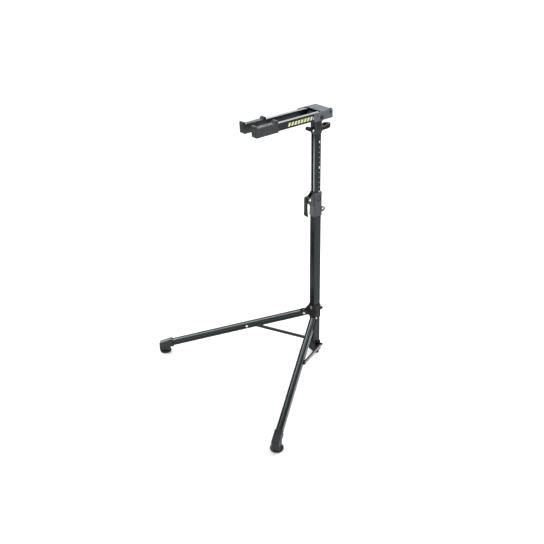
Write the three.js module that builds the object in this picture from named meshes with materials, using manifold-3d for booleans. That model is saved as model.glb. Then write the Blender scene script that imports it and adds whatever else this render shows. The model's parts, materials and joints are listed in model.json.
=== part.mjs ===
// Folding bicycle repair stand: a telescopic square column on its own foot, two front legs on a
// sliding hub with folding braces, and a two-arm cradle that folds down beside the column.
// Millimetres, +Z up, arms towards -Y. The origin is the middle of the column's foot, on the floor.

import * as THREE from 'three';
import Module from 'manifold-3d';
import { mergeVertices } from 'three/addons/utils/BufferGeometryUtils.js';

// ---------- driving dimensions ----------
const GAP = 0.3; // between touching pieces

// column
const LOWER_HALF = 16, LOWER_CORNER = 6, LOWER_BORE = 14.4;
const LOWER_BOTTOM = 18, LOWER_TOP = 700;
const FLUTE_WIDTH = 15, FLUTE_DEPTH = 0.6;
const UPPER_HALF = 14, UPPER_CORNER = 5, UPPER_WALL = 1.5;
const UPPER_BOTTOM = 418, UPPER_TOP = 1016;
const RACE_WIDTH = 6, RACE_DEPTH = 0.7;
const FOOT_HEIGHT = 13, BOOT_TOP = 58, BOOT_HALF = 19.5;

// height clamp
const CLAMP_BOTTOM = 644, CLAMP_TOP = 742, CLAMP_HALF = 19, CLAMP_STEP = 700.3;
const CAM_Y = -39, CAM_Z = 718, CAM_RADIUS = 9;

// hub and legs
const HUB_BOTTOM = 178, HUB_TOP = 238, HUB_HALF = 19;
const LEG_YAW = 38.1; // degrees of each leg away from straight ahead
const LEG_OFFSET = 5; // each leg's line passes this far outside the column's axis
const HUB_PIVOT_RADIUS = 45, HUB_PIVOT_Z = 196;
const LEG_WIDTH = 25, LEG_HEIGHT = 26, LEG_WALL = 2, LEG_CORNER = 5;
const LEG_SLOPE = 14.65; // degrees below the horizon
const LEG_END = 608, CHEEK_RADIUS = 13, FORK_LENGTH = 14;
const FOOT_RADIUS = 652; // along the leg's plan line to the foot's centre
const TONGUE_HALF = 9.6;
const LEG_GROOVE_WIDTH = 7, LEG_GROOVE_DEPTH = 1.2;
const KNOB_Z = 206;
const HUB_SCREWS = [['hub_screw_upper', 228], ['hub_screw_lower', 220]];

// braces
const BRACE_ON_LEG = 253.2; // from the hub pivot, along the leg
const BRACE_HEIGHT = 13, BRACE_THICK = 7;
const BRACE_FOOT_Z = 40, BRACE_FOOT_OFFSET = 29.5;
const BRACE_TIP_OFFSET = LEG_OFFSET + (LEG_WIDTH + BRACE_THICK) / 2 + 0.6;

// head and cradle
const HEAD_BOTTOM = 975, HEAD_HALF = 16.5, SOCKET_TOP = 1016.3;
const PIVOT_Y = -14.3, PIVOT_Z = 1046, ARM_TILT = 2.3; // degrees, tips low
const ARM_OFFSET = 36.4, ARM_WIDTH = 20, ARM_HEIGHT = 28, ARM_WALL = 1.6, ARM_RISE = 6.4;
const ARM_REAR = 49, ARM_TIP = -287;
const PAD_REAR = -197, PAD_TIP = -298;
const YOKE_IN = ARM_OFFSET + ARM_WIDTH / 2 + 0.4, YOKE_PLATE = 2.5;
const KNUCKLE_HALF = 22;
const HEAD_PIN_Y = -24, HEAD_PIN_Z = 991;
const SOCKET_Y = 24.3, LOOP_Z = 991;

const rad = THREE.MathUtils.degToRad;
const wasm = await Module();
wasm.setup();

// ---------- solids ----------
// A closed geometry as a manifold, for cutting and joining.
function solidOf(geometry) {
  const bare = geometry.clone();
  bare.deleteAttribute('normal');
  bare.deleteAttribute('uv');
  const merged = mergeVertices(bare, 1e-4);
  return new wasm.Manifold(new wasm.Mesh({
    numProp: 3,
    vertProperties: new Float32Array(merged.attributes.position.array),
    triVerts: new Uint32Array(merged.index.array),
  }));
}

function geometryOf(solid) {
  const mesh = solid.getMesh();
  const geometry = new THREE.BufferGeometry();
  geometry.setAttribute('position', new THREE.BufferAttribute(mesh.vertProperties, 3));
  geometry.setIndex(new THREE.BufferAttribute(mesh.triVerts, 1));
  return geometry;
}

function join(first, ...others) {
  return geometryOf(others.reduce((sum, g) => sum.add(solidOf(g)), solidOf(first)));
}

function cut(base, ...tools) {
  return geometryOf(tools.reduce((rest, g) => rest.subtract(solidOf(g)), solidOf(base)));
}

function common(first, second) {
  return geometryOf(solidOf(first).intersect(solidOf(second)));
}

// ---------- outlines and primitives ----------
// Rectangle of width w and height h with corner radius r, as points round its middle.
function roundedOutline(w, h, r, steps = 3) {
  const points = [];
  const x = w / 2 - r, y = h / 2 - r;
  [[x, y], [-x, y], [-x, -y], [x, -y]].forEach(([cx, cy], corner) => {
    for (let i = 0; i <= steps; i++) {
      const a = (corner + i / steps) * Math.PI / 2;
      points.push(new THREE.Vector2(cx + r * Math.cos(a), cy + r * Math.sin(a)));
    }
  });
  return points;
}

// Prism of a list of points or a shape, from 0 to length along +Z.
function prism(outline, length) {
  const shape = outline instanceof THREE.Shape ? outline : new THREE.Shape(outline);
  return new THREE.ExtrudeGeometry(shape, { depth: length, bevelEnabled: false, curveSegments: 8 });
}

// Prism with its two end edges rounded by a small bevel, from 0 to length along +Z.
function softPrism(outline, length, bevel, segments = 1) {
  const shape = outline instanceof THREE.Shape ? outline : new THREE.Shape(outline);
  const geometry = new THREE.ExtrudeGeometry(shape, {
    depth: length - 2 * bevel, bevelEnabled: true, bevelThickness: bevel, bevelSize: bevel,
    bevelOffset: -bevel, bevelSegments: segments, curveSegments: 8,
  });
  return geometry.translate(0, 0, bevel);
}

// Turns +Z of a geometry to +X or +Y; a profile's first axis stays horizontal.
const toX = (g) => g.rotateX(Math.PI / 2).rotateZ(Math.PI / 2); // profile (a, b) -> (y, z)
const toY = (g) => g.rotateX(Math.PI / 2).rotateZ(Math.PI); // profile (a, b) -> (-x, z)

// Prism of a (y, z) profile, centred on x with the given half length.
const sideProfile = (points, half) => toX(prism(points, 2 * half)).translate(-half, 0, 0);
const softSideProfile = (points, half, bevel) =>
  toX(softPrism(points, 2 * half, bevel)).translate(-half, 0, 0);

const block = (x0, x1, y0, y1, z0, z1) => new THREE.BoxGeometry(x1 - x0, y1 - y0, z1 - z0)
  .translate((x0 + x1) / 2, (y0 + y1) / 2, (z0 + z1) / 2);

const squareBar = (half, corner, z0, z1) =>
  prism(roundedOutline(2 * half, 2 * half, corner), z1 - z0).translate(0, 0, z0);

const rodZ = (r, z0, z1, sides = 16) => new THREE.CylinderGeometry(r, r, Math.abs(z1 - z0), sides)
  .rotateX(Math.PI / 2).translate(0, 0, (z0 + z1) / 2);
const rodX = (r, x0, x1, y, z, sides = 16) => rodZ(r, x0, x1, sides)
  .rotateY(Math.PI / 2).translate(0, y, z);
const rodY = (r, y0, y1, x, z, sides = 16) => rodZ(r, y0, y1, sides)
  .rotateX(-Math.PI / 2).translate(x, 0, z);

// Screw or rivet along +X: a domed head outside x0 and a shank from x0 to x1.
function screwX(headRadius, headHeight, shankRadius, x0, x1) {
  const profile = [[0, -headHeight], [headRadius * 0.6, -headHeight], [headRadius, -headHeight * 0.35],
    [headRadius, 0], [shankRadius, 0], [shankRadius, x1 - x0], [0, x1 - x0]]
    .map(([r, h]) => new THREE.Vector2(r, h));
  return new THREE.LatheGeometry(profile, 16).rotateZ(-Math.PI / 2).translate(x0, 0, 0);
}

// Arc points round (cx, cy) from one angle to another, in degrees.
function arc(cx, cy, r, from, to, steps = 8) {
  return Array.from({ length: steps + 1 }, (_, i) => {
    const a = rad(from + (to - from) * i / steps);
    return new THREE.Vector2(cx + r * Math.cos(a), cy + r * Math.sin(a));
  });
}
const points = (...pairs) => pairs.map(([a, b]) => new THREE.Vector2(a, b));

// ---------- materials ----------
const finish = (color, roughness, metalness) =>
  new THREE.MeshStandardMaterial({ color, roughness, metalness });
const ANODISED = finish(0x1b1d20, 0.32, 0.35);
const PAINTED = finish(0x17181a, 0.38, 0.1);
const CASTING = finish(0x4a4d52, 0.45, 0.3);
const PLASTIC = finish(0x35383c, 0.55, 0);
const RUBBER = finish(0x232426, 0.85, 0);
const PAD = finish(0x45484c, 0.8, 0);
const STEEL = finish(0xc4c7ca, 0.3, 0.9);
const DARK_STEEL = finish(0x2b2d30, 0.4, 0.7);

const stand = new THREE.Group();
function add(parent, name, geometry, material) {
  const mesh = new THREE.Mesh(geometry, material);
  mesh.name = name;
  parent.add(mesh);
  return mesh;
}

// ---------- column ----------
// Square section with a shallow flute down the middle of each face.
function flutedOutline(half, corner, width, depth) {
  const out = [];
  const corners = roundedOutline(2 * half, 2 * half, corner);
  const perCorner = corners.length / 4;
  for (let side = 0; side < 4; side++) {
    out.push(...corners.slice(side * perCorner, (side + 1) * perCorner));
    const a = (side + 1) * Math.PI / 2;
    const across = [[width / 2, half], [width / 2 - depth, half - depth],
      [depth - width / 2, half - depth], [-width / 2, half]];
    across.forEach(([u, v]) => out.push(
      new THREE.Vector2(u * Math.sin(a) + v * Math.cos(a), -u * Math.cos(a) + v * Math.sin(a))));
  }
  return out;
}

function buildColumn() {
  const foot = softPrism(roundedOutline(40, 18, 8), FOOT_HEIGHT, 1.2).translate(0, 3, 0);
  add(stand, 'column_foot', foot, RUBBER);

  const outward = [Math.cos(rad(LEG_YAW)), Math.sin(rad(LEG_YAW))];
  let boot = softPrism(roundedOutline(2 * BOOT_HALF, 39, 6), BOOT_TOP - FOOT_HEIGHT - GAP, 1.5)
    .translate(0, 1, FOOT_HEIGHT + GAP);
  const skirt = softPrism(roundedOutline(2 * BOOT_HALF + 1, 41, 6), 10, 1.2)
    .translate(0, 1.5, FOOT_HEIGHT + GAP);
  const bosses = [];
  const holes = [];
  for (const side of [1, -1]) {
    const turn = side > 0 ? rad(LEG_YAW) : Math.PI - rad(LEG_YAW);
    bosses.push(rodX(9, 8, 25, 0, BRACE_FOOT_Z, 24).rotateZ(turn));
    holes.push(rodX(3.2, 21.8, 26, 0, BRACE_FOOT_Z).rotateZ(turn));
    const screw = add(stand, side > 0 ? 'brace_b_pivot_screw' : 'brace_a_pivot_screw',
      screwX(6, 2.6, 3, 0, BRACE_FOOT_OFFSET + BRACE_THICK / 2 + 0.7 - 22).rotateZ(Math.PI), DARK_STEEL);
    screw.position.set(side * outward[0] * (BRACE_FOOT_OFFSET + BRACE_THICK / 2 + 0.7),
      outward[1] * (BRACE_FOOT_OFFSET + BRACE_THICK / 2 + 0.7), BRACE_FOOT_Z);
    screw.rotation.z = turn;
  }
  boot = join(boot, skirt, ...bosses);
  boot = cut(boot, squareBar(LOWER_HALF + GAP, LOWER_CORNER, LOWER_BOTTOM - GAP, BOOT_TOP + 1),
    rodX(2.7, -30, 30, -7, 32), ...holes);
  add(stand, 'base_bracket', boot, PLASTIC);

  const bolt = screwX(5, 2.6, 2.5, 0, 43).rotateZ(Math.PI).translate(BOOT_HALF + GAP, -7, 32);
  add(stand, 'base_bolt', bolt, DARK_STEEL);
  const nut = new THREE.CylinderGeometry(4.6, 4.6, 3.2, 6).rotateZ(Math.PI / 2)
    .translate(-BOOT_HALF - GAP - 1.6, -7, 32);
  add(stand, 'base_nut', cut(nut, rodX(2.6, -30, -10, -7, 32)), DARK_STEEL);

  const outline = new THREE.Shape(flutedOutline(LOWER_HALF, LOWER_CORNER, FLUTE_WIDTH, FLUTE_DEPTH));
  outline.holes.push(new THREE.Path(roundedOutline(2 * LOWER_BORE, 2 * LOWER_BORE, 5)));
  const lower = prism(outline, LOWER_TOP - LOWER_BOTTOM).translate(0, 0, LOWER_BOTTOM);
  add(stand, 'lower_tube', cut(lower, rodX(2.7, -30, 30, -7, 32)), ANODISED);

  const upper = new THREE.Shape(flutedOutline(UPPER_HALF, UPPER_CORNER, RACE_WIDTH, RACE_DEPTH));
  const bore = 2 * (UPPER_HALF - UPPER_WALL);
  upper.holes.push(new THREE.Path(roundedOutline(bore, bore, UPPER_CORNER - UPPER_WALL)));
  const tube = prism(upper, UPPER_TOP - UPPER_BOTTOM).translate(0, 0, UPPER_BOTTOM);
  add(stand, 'upper_tube', cut(tube, rodY(3.3, 8, 30, 0, LOOP_Z)), ANODISED);

  const bush = join(squareBar(UPPER_HALF + 0.1, UPPER_CORNER, UPPER_BOTTOM - 8, UPPER_BOTTOM - GAP),
    squareBar(bore / 2 - GAP, UPPER_CORNER - UPPER_WALL, UPPER_BOTTOM - 1, UPPER_BOTTOM + 22));
  add(stand, 'mast_end_bush', cut(bush, squareBar(9.5, 3, UPPER_BOTTOM - 20, UPPER_BOTTOM + 40)), PLASTIC);
}

// ---------- height clamp ----------
function buildClamp() {
  const body = softPrism(roundedOutline(2 * CLAMP_HALF, 2 * CLAMP_HALF, 6), CLAMP_TOP - CLAMP_BOTTOM, 1.5)
    .translate(0, 0, CLAMP_BOTTOM);
  const rim = softPrism(roundedOutline(2 * CLAMP_HALF + 2, 2 * CLAMP_HALF + 2, 7), 7, 1.2)
    .translate(0, 0, CLAMP_BOTTOM);
  // two ears carry the cam lever's pin
  const ear = [...arc(CAM_Y, CAM_Z, 9.5, 70, 290, 10),
    ...points([-17, CAM_Z - 20], [-16, CAM_Z - 20], [-16, CAM_Z + 18])];
  const ears = [1, -1].map((s) => sideProfile(ear, 2.2).translate(s * 10.6, 0, 0));
  // lug at the back, with an eye for a tie
  const lug = [...arc(37, 660, 10, -60, 90, 8),
    ...points([17, 670], [17, CLAMP_BOTTOM + 1], [20, CLAMP_BOTTOM + 1])];
  const backLug = softSideProfile(lug, 5, 1);
  const dish = (s) => rodX(12, s * (CLAMP_HALF - 1), s * (CLAMP_HALF + 9), 1, 716, 28);
  let collar = join(body, rim, ...ears, backLug);
  collar = cut(collar,
    squareBar(LOWER_HALF + GAP, LOWER_CORNER, CLAMP_BOTTOM - 1, CLAMP_STEP),
    squareBar(UPPER_HALF + 0.4, UPPER_CORNER, CLAMP_BOTTOM, CLAMP_TOP + 1),
    block(-7.3, 7.3, -30, -10, CAM_Z - 10.3, CAM_Z + 10.3),
    rodX(3.2, -20, 20, CAM_Y, CAM_Z), rodX(5, -20, 20, 37, 660, 24), dish(1), dish(-1));
  add(stand, 'clamp_collar', collar, PLASTIC);

  const shoe = block(-7, 7, CAM_Y + CAM_RADIUS + GAP, -UPPER_HALF - GAP, CAM_Z - 10, CAM_Z + 10);
  add(stand, 'clamp_shoe', shoe, PLASTIC);
  const pin = join(rodX(3, -14.6, 14.6, CAM_Y, CAM_Z), rodX(4.6, 13.1, 14.8, CAM_Y, CAM_Z),
    rodX(4.6, -14.8, -13.1, CAM_Y, CAM_Z));
  add(stand, 'clamp_pin', pin, STEEL);

  // cam and handle: a curved paddle that hangs down in front of the collar
  const handle = [...arc(CAM_Y, CAM_Z, CAM_RADIUS, -75, 130, 10),
    ...points([-50.5, 729], [-53, 727], [-54, 718], [-54, 700], [-54, 672], [-55, 660],
      [-54, 656], [-48, 648.5], [-44, 646.5], [-42, 650], [-44, 662], [-45.5, 680], [-45, 700],
      [-41.5, 708])];
  const lever = cut(softSideProfile(handle, 7.4, 1.2), rodX(3.25, -20, 20, CAM_Y, CAM_Z));
  add(stand, 'clamp_lever', lever, PLASTIC);
}

// ---------- hub ----------
function buildHub() {
  const body = softPrism(roundedOutline(2 * HUB_HALF, 2 * HUB_HALF, 6), HUB_TOP - HUB_BOTTOM, 1.5)
    .translate(0, 0, HUB_BOTTOM);
  const rim = softPrism(roundedOutline(2 * HUB_HALF + 2, 2 * HUB_HALF + 2, 7), 6, 1.2)
    .translate(0, 0, HUB_TOP - 6);
  const web = [...arc(HUB_PIVOT_RADIUS, HUB_PIVOT_Z, 10.5, -90, 80, 8),
    ...points([30, HUB_PIVOT_Z + 14], [16, HUB_PIVOT_Z + 14], [16, HUB_PIVOT_Z - 10.5])];
  const rib = points([46, HUB_PIVOT_Z], [49, HUB_PIVOT_Z + 7], [22, HUB_TOP - 4], [13, HUB_TOP - 4],
    [13, HUB_PIVOT_Z]);
  const tongues = [];
  const holes = [];
  for (const side of [1, -1]) {
    const place = (g) => g.translate(0, side * LEG_OFFSET, 0).rotateZ(rad(side * LEG_YAW - 90));
    tongues.push(place(softSideProfile(web, TONGUE_HALF, 0.8).rotateZ(-Math.PI / 2)));
    tongues.push(place(softSideProfile(rib, 4.5, 0.8).rotateZ(-Math.PI / 2)));
    holes.push(place(rodY(3.15, -20, 20, HUB_PIVOT_RADIUS, HUB_PIVOT_Z)));
  }
  const boss = rodY(7.6, 15, 27, 0, KNOB_Z, 24);
  let hub = join(body, rim, ...tongues, boss);
  // flats beside the body clear the folded cradle
  const flats = [1, -1].map((s) => block(...[22.4 * s, 60 * s].sort((a, b) => a - b), -12.5, 30, 150, 260));
  hub = cut(hub, squareBar(LOWER_HALF + 0.4, LOWER_CORNER, HUB_BOTTOM - 1, HUB_TOP + 1), ...flats,
    ...holes, rodY(3.3, 10, 30, 0, KNOB_Z), ...HUB_SCREWS.map(([, z]) => rodY(1.7, -25, -12, 0, z, 12)));
  add(stand, 'hub_collar', hub, PLASTIC);
  for (const [name, z] of HUB_SCREWS) {
    const screw = screwX(2.4, 1.4, 1.4, 0, 2.6).rotateZ(Math.PI / 2);
    add(stand, name, screw.translate(0, -HUB_HALF - GAP, z), STEEL);
  }
  // spring plunger: the knob draws its tip out of the column's path
  const knobProfile = points([0, 0], [3, 0], [3, 10.5], [6.3, 10.5], [7.2, 11.5], [7.2, 21.5], [6.4, 23.5],
    [4.6, 24.4], [0, 24.4]);
  const knob = new THREE.LatheGeometry(knobProfile, 24).translate(0, 16.8, KNOB_Z);
  add(stand, 'hub_lock_knob', knob, PLASTIC);
}

// ---------- legs and braces ----------
function legOutline() {
  const outline = roundedOutline(LEG_WIDTH, LEG_HEIGHT, LEG_CORNER);
  const perCorner = outline.length / 4;
  const out = [];
  const halves = [LEG_HEIGHT / 2, LEG_WIDTH / 2, LEG_HEIGHT / 2, LEG_WIDTH / 2];
  for (let side = 0; side < 4; side++) {
    out.push(...outline.slice(side * perCorner, (side + 1) * perCorner));
    const a = (side + 1) * Math.PI / 2;
    const w = LEG_GROOVE_WIDTH / 2, d = LEG_GROOVE_DEPTH, v = halves[side];
    [[w, v], [w - 0.8, v - d], [0.8 - w, v - d], [-w, v]].forEach(([u, h]) => out.push(
      new THREE.Vector2(u * Math.sin(a) + h * Math.cos(a), -u * Math.cos(a) + h * Math.sin(a))));
  }
  return out;
}

// side +1 is the leg towards +X, -1 the leg towards -X. Outward is away from the other leg.
function buildLeg(side, letter) {
  const yaw = rad(side * LEG_YAW - 90);
  const hip = new THREE.Group();
  hip.rotation.set(0, 0, yaw);
  stand.add(hip);
  const leg = new THREE.Group(); // +X runs down the leg from the hub pivot, +Y is sideways
  leg.position.set(HUB_PIVOT_RADIUS, side * LEG_OFFSET, HUB_PIVOT_Z);
  leg.rotation.set(0, rad(LEG_SLOPE), 0);
  hip.add(leg);

  // pivot rivet through the hub's tongue: it stays with the hub
  const half = LEG_WIDTH / 2;
  const rivet = join(screwX(5.2, 2.2, 3, 0, LEG_WIDTH + 2 * GAP).rotateZ(Math.PI / 2)
    .translate(0, -half - GAP, 0), rodY(5.2, half + GAP, half + GAP + 2, 0, 0))
    .translate(HUB_PIVOT_RADIUS, side * LEG_OFFSET, HUB_PIVOT_Z);
  add(hip, `leg_${letter}_pivot_rivet`, rivet, STEEL);

  const start = CHEEK_RADIUS;
  const outline = new THREE.Shape(legOutline());
  outline.holes.push(new THREE.Path(
    roundedOutline(LEG_WIDTH - 2 * LEG_WALL, LEG_HEIGHT - 2 * LEG_WALL - 1, LEG_CORNER - LEG_WALL)));
  const tube = toX(prism(outline, LEG_END + start)).translate(-start, 0, 0);
  const keep = join(rodY(CHEEK_RADIUS, -20, 20, 0, 0, 40), block(0, LEG_END + 5, -20, 20, -20, 20));
  const fork = block(-20, FORK_LENGTH, -TONGUE_HALF - 0.6, TONGUE_HALF + 0.6, -20, 20);
  const drilled = cut(common(tube, keep), fork, rodY(3.2, -20, 20, 0, 0),
    rodY(3.15, -20, 20, BRACE_ON_LEG, 0));
  add(leg, `leg_${letter}_tube`, drilled, ANODISED);

  const stud = screwX(5.2, 2, 3, 0, LEG_WIDTH - 0.2).rotateZ(side * Math.PI / 2);
  add(leg, `leg_${letter}_brace_rivet`, stud.translate(BRACE_ON_LEG, -side * (half + GAP), 0), STEEL);

  // end boot: a sleeve over the tube that drops on to the foot disc with an upright end face
  const slope = Math.tan(rad(LEG_SLOPE));
  const axisZ = (r) => HUB_PIVOT_Z - (r - HUB_PIVOT_RADIUS) * slope;
  const end = FOOT_RADIUS + 24;
  const below = (r) => [r, axisZ(r) - 16];
  const above = (r) => [r, axisZ(r) + 16];
  const bootSide = points(below(FOOT_RADIUS - 36), below(FOOT_RADIUS - 22), [FOOT_RADIUS - 18, 9.3],
    [end - 3, 9.3], [end, 12], [end, axisZ(end) + 11], above(end - 4), above(FOOT_RADIUS - 28));
  const shell = softSideProfile(bootSide, LEG_WIDTH / 2 + 2.6, 2.5).rotateZ(-Math.PI / 2)
    .translate(-HUB_PIVOT_RADIUS, 0, -HUB_PIVOT_Z).rotateY(-rad(LEG_SLOPE));
  const lip = toX(softPrism(roundedOutline(LEG_WIDTH + 7, LEG_HEIGHT + 8, 7), 7, 1.2)).translate(590, 0, 0);
  const pocket = roundedOutline(LEG_WIDTH + 2 * GAP, LEG_HEIGHT + 2 * GAP, LEG_CORNER);
  const boot = cut(join(shell, lip), toX(prism(pocket, LEG_END + GAP - 560)).translate(560, 0, 0));
  add(leg, `leg_${letter}_boot`, boot, PLASTIC);
  const rim = points([0, 0], [20, 0], [23.5, 1.6], [25, 4.6], [25, 7.2], [23.6, 9], [0, 9]);
  const disc = new THREE.LatheGeometry(rim, 40).rotateX(Math.PI / 2);
  const foot = add(hip, `leg_${letter}_foot`, disc, RUBBER);
  foot.position.set(FOOT_RADIUS, side * LEG_OFFSET, 0);
}

function buildBrace(side, letter) {
  const hip = new THREE.Group();
  hip.rotation.set(0, 0, rad(side * LEG_YAW - 90));
  stand.add(hip);
  const slope = rad(LEG_SLOPE);
  const tip = new THREE.Vector3(HUB_PIVOT_RADIUS + BRACE_ON_LEG * Math.cos(slope),
    side * BRACE_TIP_OFFSET, HUB_PIVOT_Z - BRACE_ON_LEG * Math.sin(slope));
  const root = new THREE.Vector3(0, side * BRACE_FOOT_OFFSET, BRACE_FOOT_Z);
  const run = tip.clone().sub(root);
  const brace = new THREE.Group();
  brace.position.copy(root);
  brace.rotation.set(0, -Math.asin(run.z / run.length()), Math.atan2(run.y, run.x), 'ZYX');
  hip.add(brace);
  const length = run.length();
  const r = BRACE_HEIGHT / 2;
  const outline = [...arc(length, 0, r, -90, 90, 8), ...arc(0, 0, r, 90, 270, 8)];
  const t = BRACE_THICK / 2;
  const bar = softPrism(outline, BRACE_THICK, 0.8, 1).rotateX(Math.PI / 2).translate(0, t, 0);
  const groove = side > 0 ? [-t - 1, -t + 3] : [t - 3, t + 1];
  add(brace, `brace_${letter}`, cut(bar, rodY(3.4, -9, 9, 0, 0), rodY(3.4, -9, 9, length, 0),
    block(14, length - 14, groove[0], groove[1], -4, 4)), PAINTED);
  const button = screwX(5, 2, 3, 0, BRACE_THICK).rotateZ(-side * Math.PI / 2);
  add(brace, `brace_${letter}_rivet`, button.translate(length, side * (t + GAP), 0), DARK_STEEL);
}

// ---------- head ----------
function buildHead() {
  const sleeve = softPrism(roundedOutline(2 * HEAD_HALF, 2 * HEAD_HALF, 5), 60, 1.2)
    .translate(0, 0, HEAD_BOTTOM);
  const knuckleSide = [...arc(PIVOT_Y, PIVOT_Z, 14, 60, 215, 10),
    ...points([-17, 1024], [16, 1024], [16, 1058], [-6, 1058])];
  const knuckle = softSideProfile(knuckleSide, KNUCKLE_HALF, 1);
  // ribs across the front, two ears for the front lever, and a socket behind for the pull loop
  const ribs = [1001.5, 1009, 1016.5].map((z) => block(-12, 12, -HEAD_HALF - 2, -10, z, z + 3));
  const ear = [...arc(HEAD_PIN_Y, HEAD_PIN_Z, 6.5, 60, 270, 8), ...points([-14, 979], [-14, 999])];
  const ears = [1, -1].map((s) => sideProfile(ear, 2).translate(s * 10.5, 0, 0));
  const socketSide = points([12, 976.5], [17, 976.5], [SOCKET_Y, 983], [SOCKET_Y, 999], [12, 1003]);
  const socket = softSideProfile(socketSide, 11, 0.8);
  // the cradle's top plate rests on this post
  const rest = sideProfile(points([0, 1050], [14, 1050], [14, 1067.3], [0, 1066.9]), 13);
  let head = join(sleeve, knuckle, rest, ...ribs, ...ears, socket);
  head = cut(head, squareBar(UPPER_HALF + GAP, UPPER_CORNER, HEAD_BOTTOM - 1, SOCKET_TOP),
    rodX(4.2, -40, 40, PIVOT_Y, PIVOT_Z), rodX(2.7, -20, 20, HEAD_PIN_Y, HEAD_PIN_Z),
    rodY(3.3, 10, 40, 0, LOOP_Z));
  add(stand, 'head_block', head, PLASTIC);

  const cheek = YOKE_IN + YOKE_PLATE;
  const pivotHead = new THREE.CylinderGeometry(7, 7, 4, 6).rotateZ(Math.PI / 2)
    .translate(cheek + GAP + 2, PIVOT_Y, PIVOT_Z);
  add(stand, 'pivot_bolt', join(rodX(4, -cheek - 6, cheek + 1, PIVOT_Y, PIVOT_Z), pivotHead), DARK_STEEL);
  const nut = new THREE.CylinderGeometry(7, 7, 4.5, 6).rotateZ(Math.PI / 2)
    .translate(-YOKE_IN - YOKE_PLATE - GAP - 2.25, PIVOT_Y, PIVOT_Z);
  add(stand, 'pivot_nut', cut(nut, rodX(4.1, -70, -40, PIVOT_Y, PIVOT_Z)), DARK_STEEL);
  const outer = ARM_OFFSET - ARM_WIDTH / 2 - GAP;
  for (const [name, s] of [['pivot_washer_near', 1], ['pivot_washer_far', -1]]) {
    const x = [KNUCKLE_HALF + GAP, outer].map((v) => v * s).sort((a, b) => a - b);
    add(stand, name, cut(rodX(10, x[0], x[1], PIVOT_Y, PIVOT_Z, 28),
      rodX(4.2, x[0] - 1, x[1] + 1, PIVOT_Y, PIVOT_Z)), PLASTIC);
  }

  const leverSide = [...arc(HEAD_PIN_Y, HEAD_PIN_Z, 5.8, -150, 60, 8), ...points([-32, 1004], [-39, 1005]),
    ...arc(-40, 998, 7, 90, 235, 8), ...points([-36, 988])];
  const pinHole = rodX(2.75, -20, 20, HEAD_PIN_Y, HEAD_PIN_Z);
  add(stand, 'head_lever', cut(softSideProfile(leverSide, 8.1, 1), pinHole), PLASTIC);
  const pin = join(rodX(2.5, -14, 14, HEAD_PIN_Y, HEAD_PIN_Z), rodX(4.2, 12.8, 14.4, HEAD_PIN_Y, HEAD_PIN_Z),
    rodX(4.2, -14.4, -12.8, HEAD_PIN_Y, HEAD_PIN_Z));
  add(stand, 'head_lever_pin', pin, STEEL);

  // pull loop behind the head: its plunger drops into a hole in the back of the upper tube
  const front = SOCKET_Y + GAP;
  const plan = new THREE.Shape([...points([front, -13], [48, -16]), ...arc(49, 0, 16, -90, 90, 12),
    ...points([48, 16], [front, 13])]);
  plan.holes.push(new THREE.Path([...points([32, -8.5], [47, -8.5]), ...arc(47, 0, 8.5, -90, 90, 10),
    ...points([32, 8.5])]));
  const ring = prism(plan, 60).rotateZ(Math.PI / 2).translate(0, 0, 960);
  const rise = points([20, 983.5], [40, 986], [58, 990], [67, 995], [66, 1004.5], [48, 1004.5],
    [36, 999], [20, 997]);
  const loop = join(common(ring, softSideProfile(rise, 17, 0.8)), rodY(3, 11, 30, 0, LOOP_Z));
  add(stand, 'release_loop', loop, PLASTIC);
}

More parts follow.
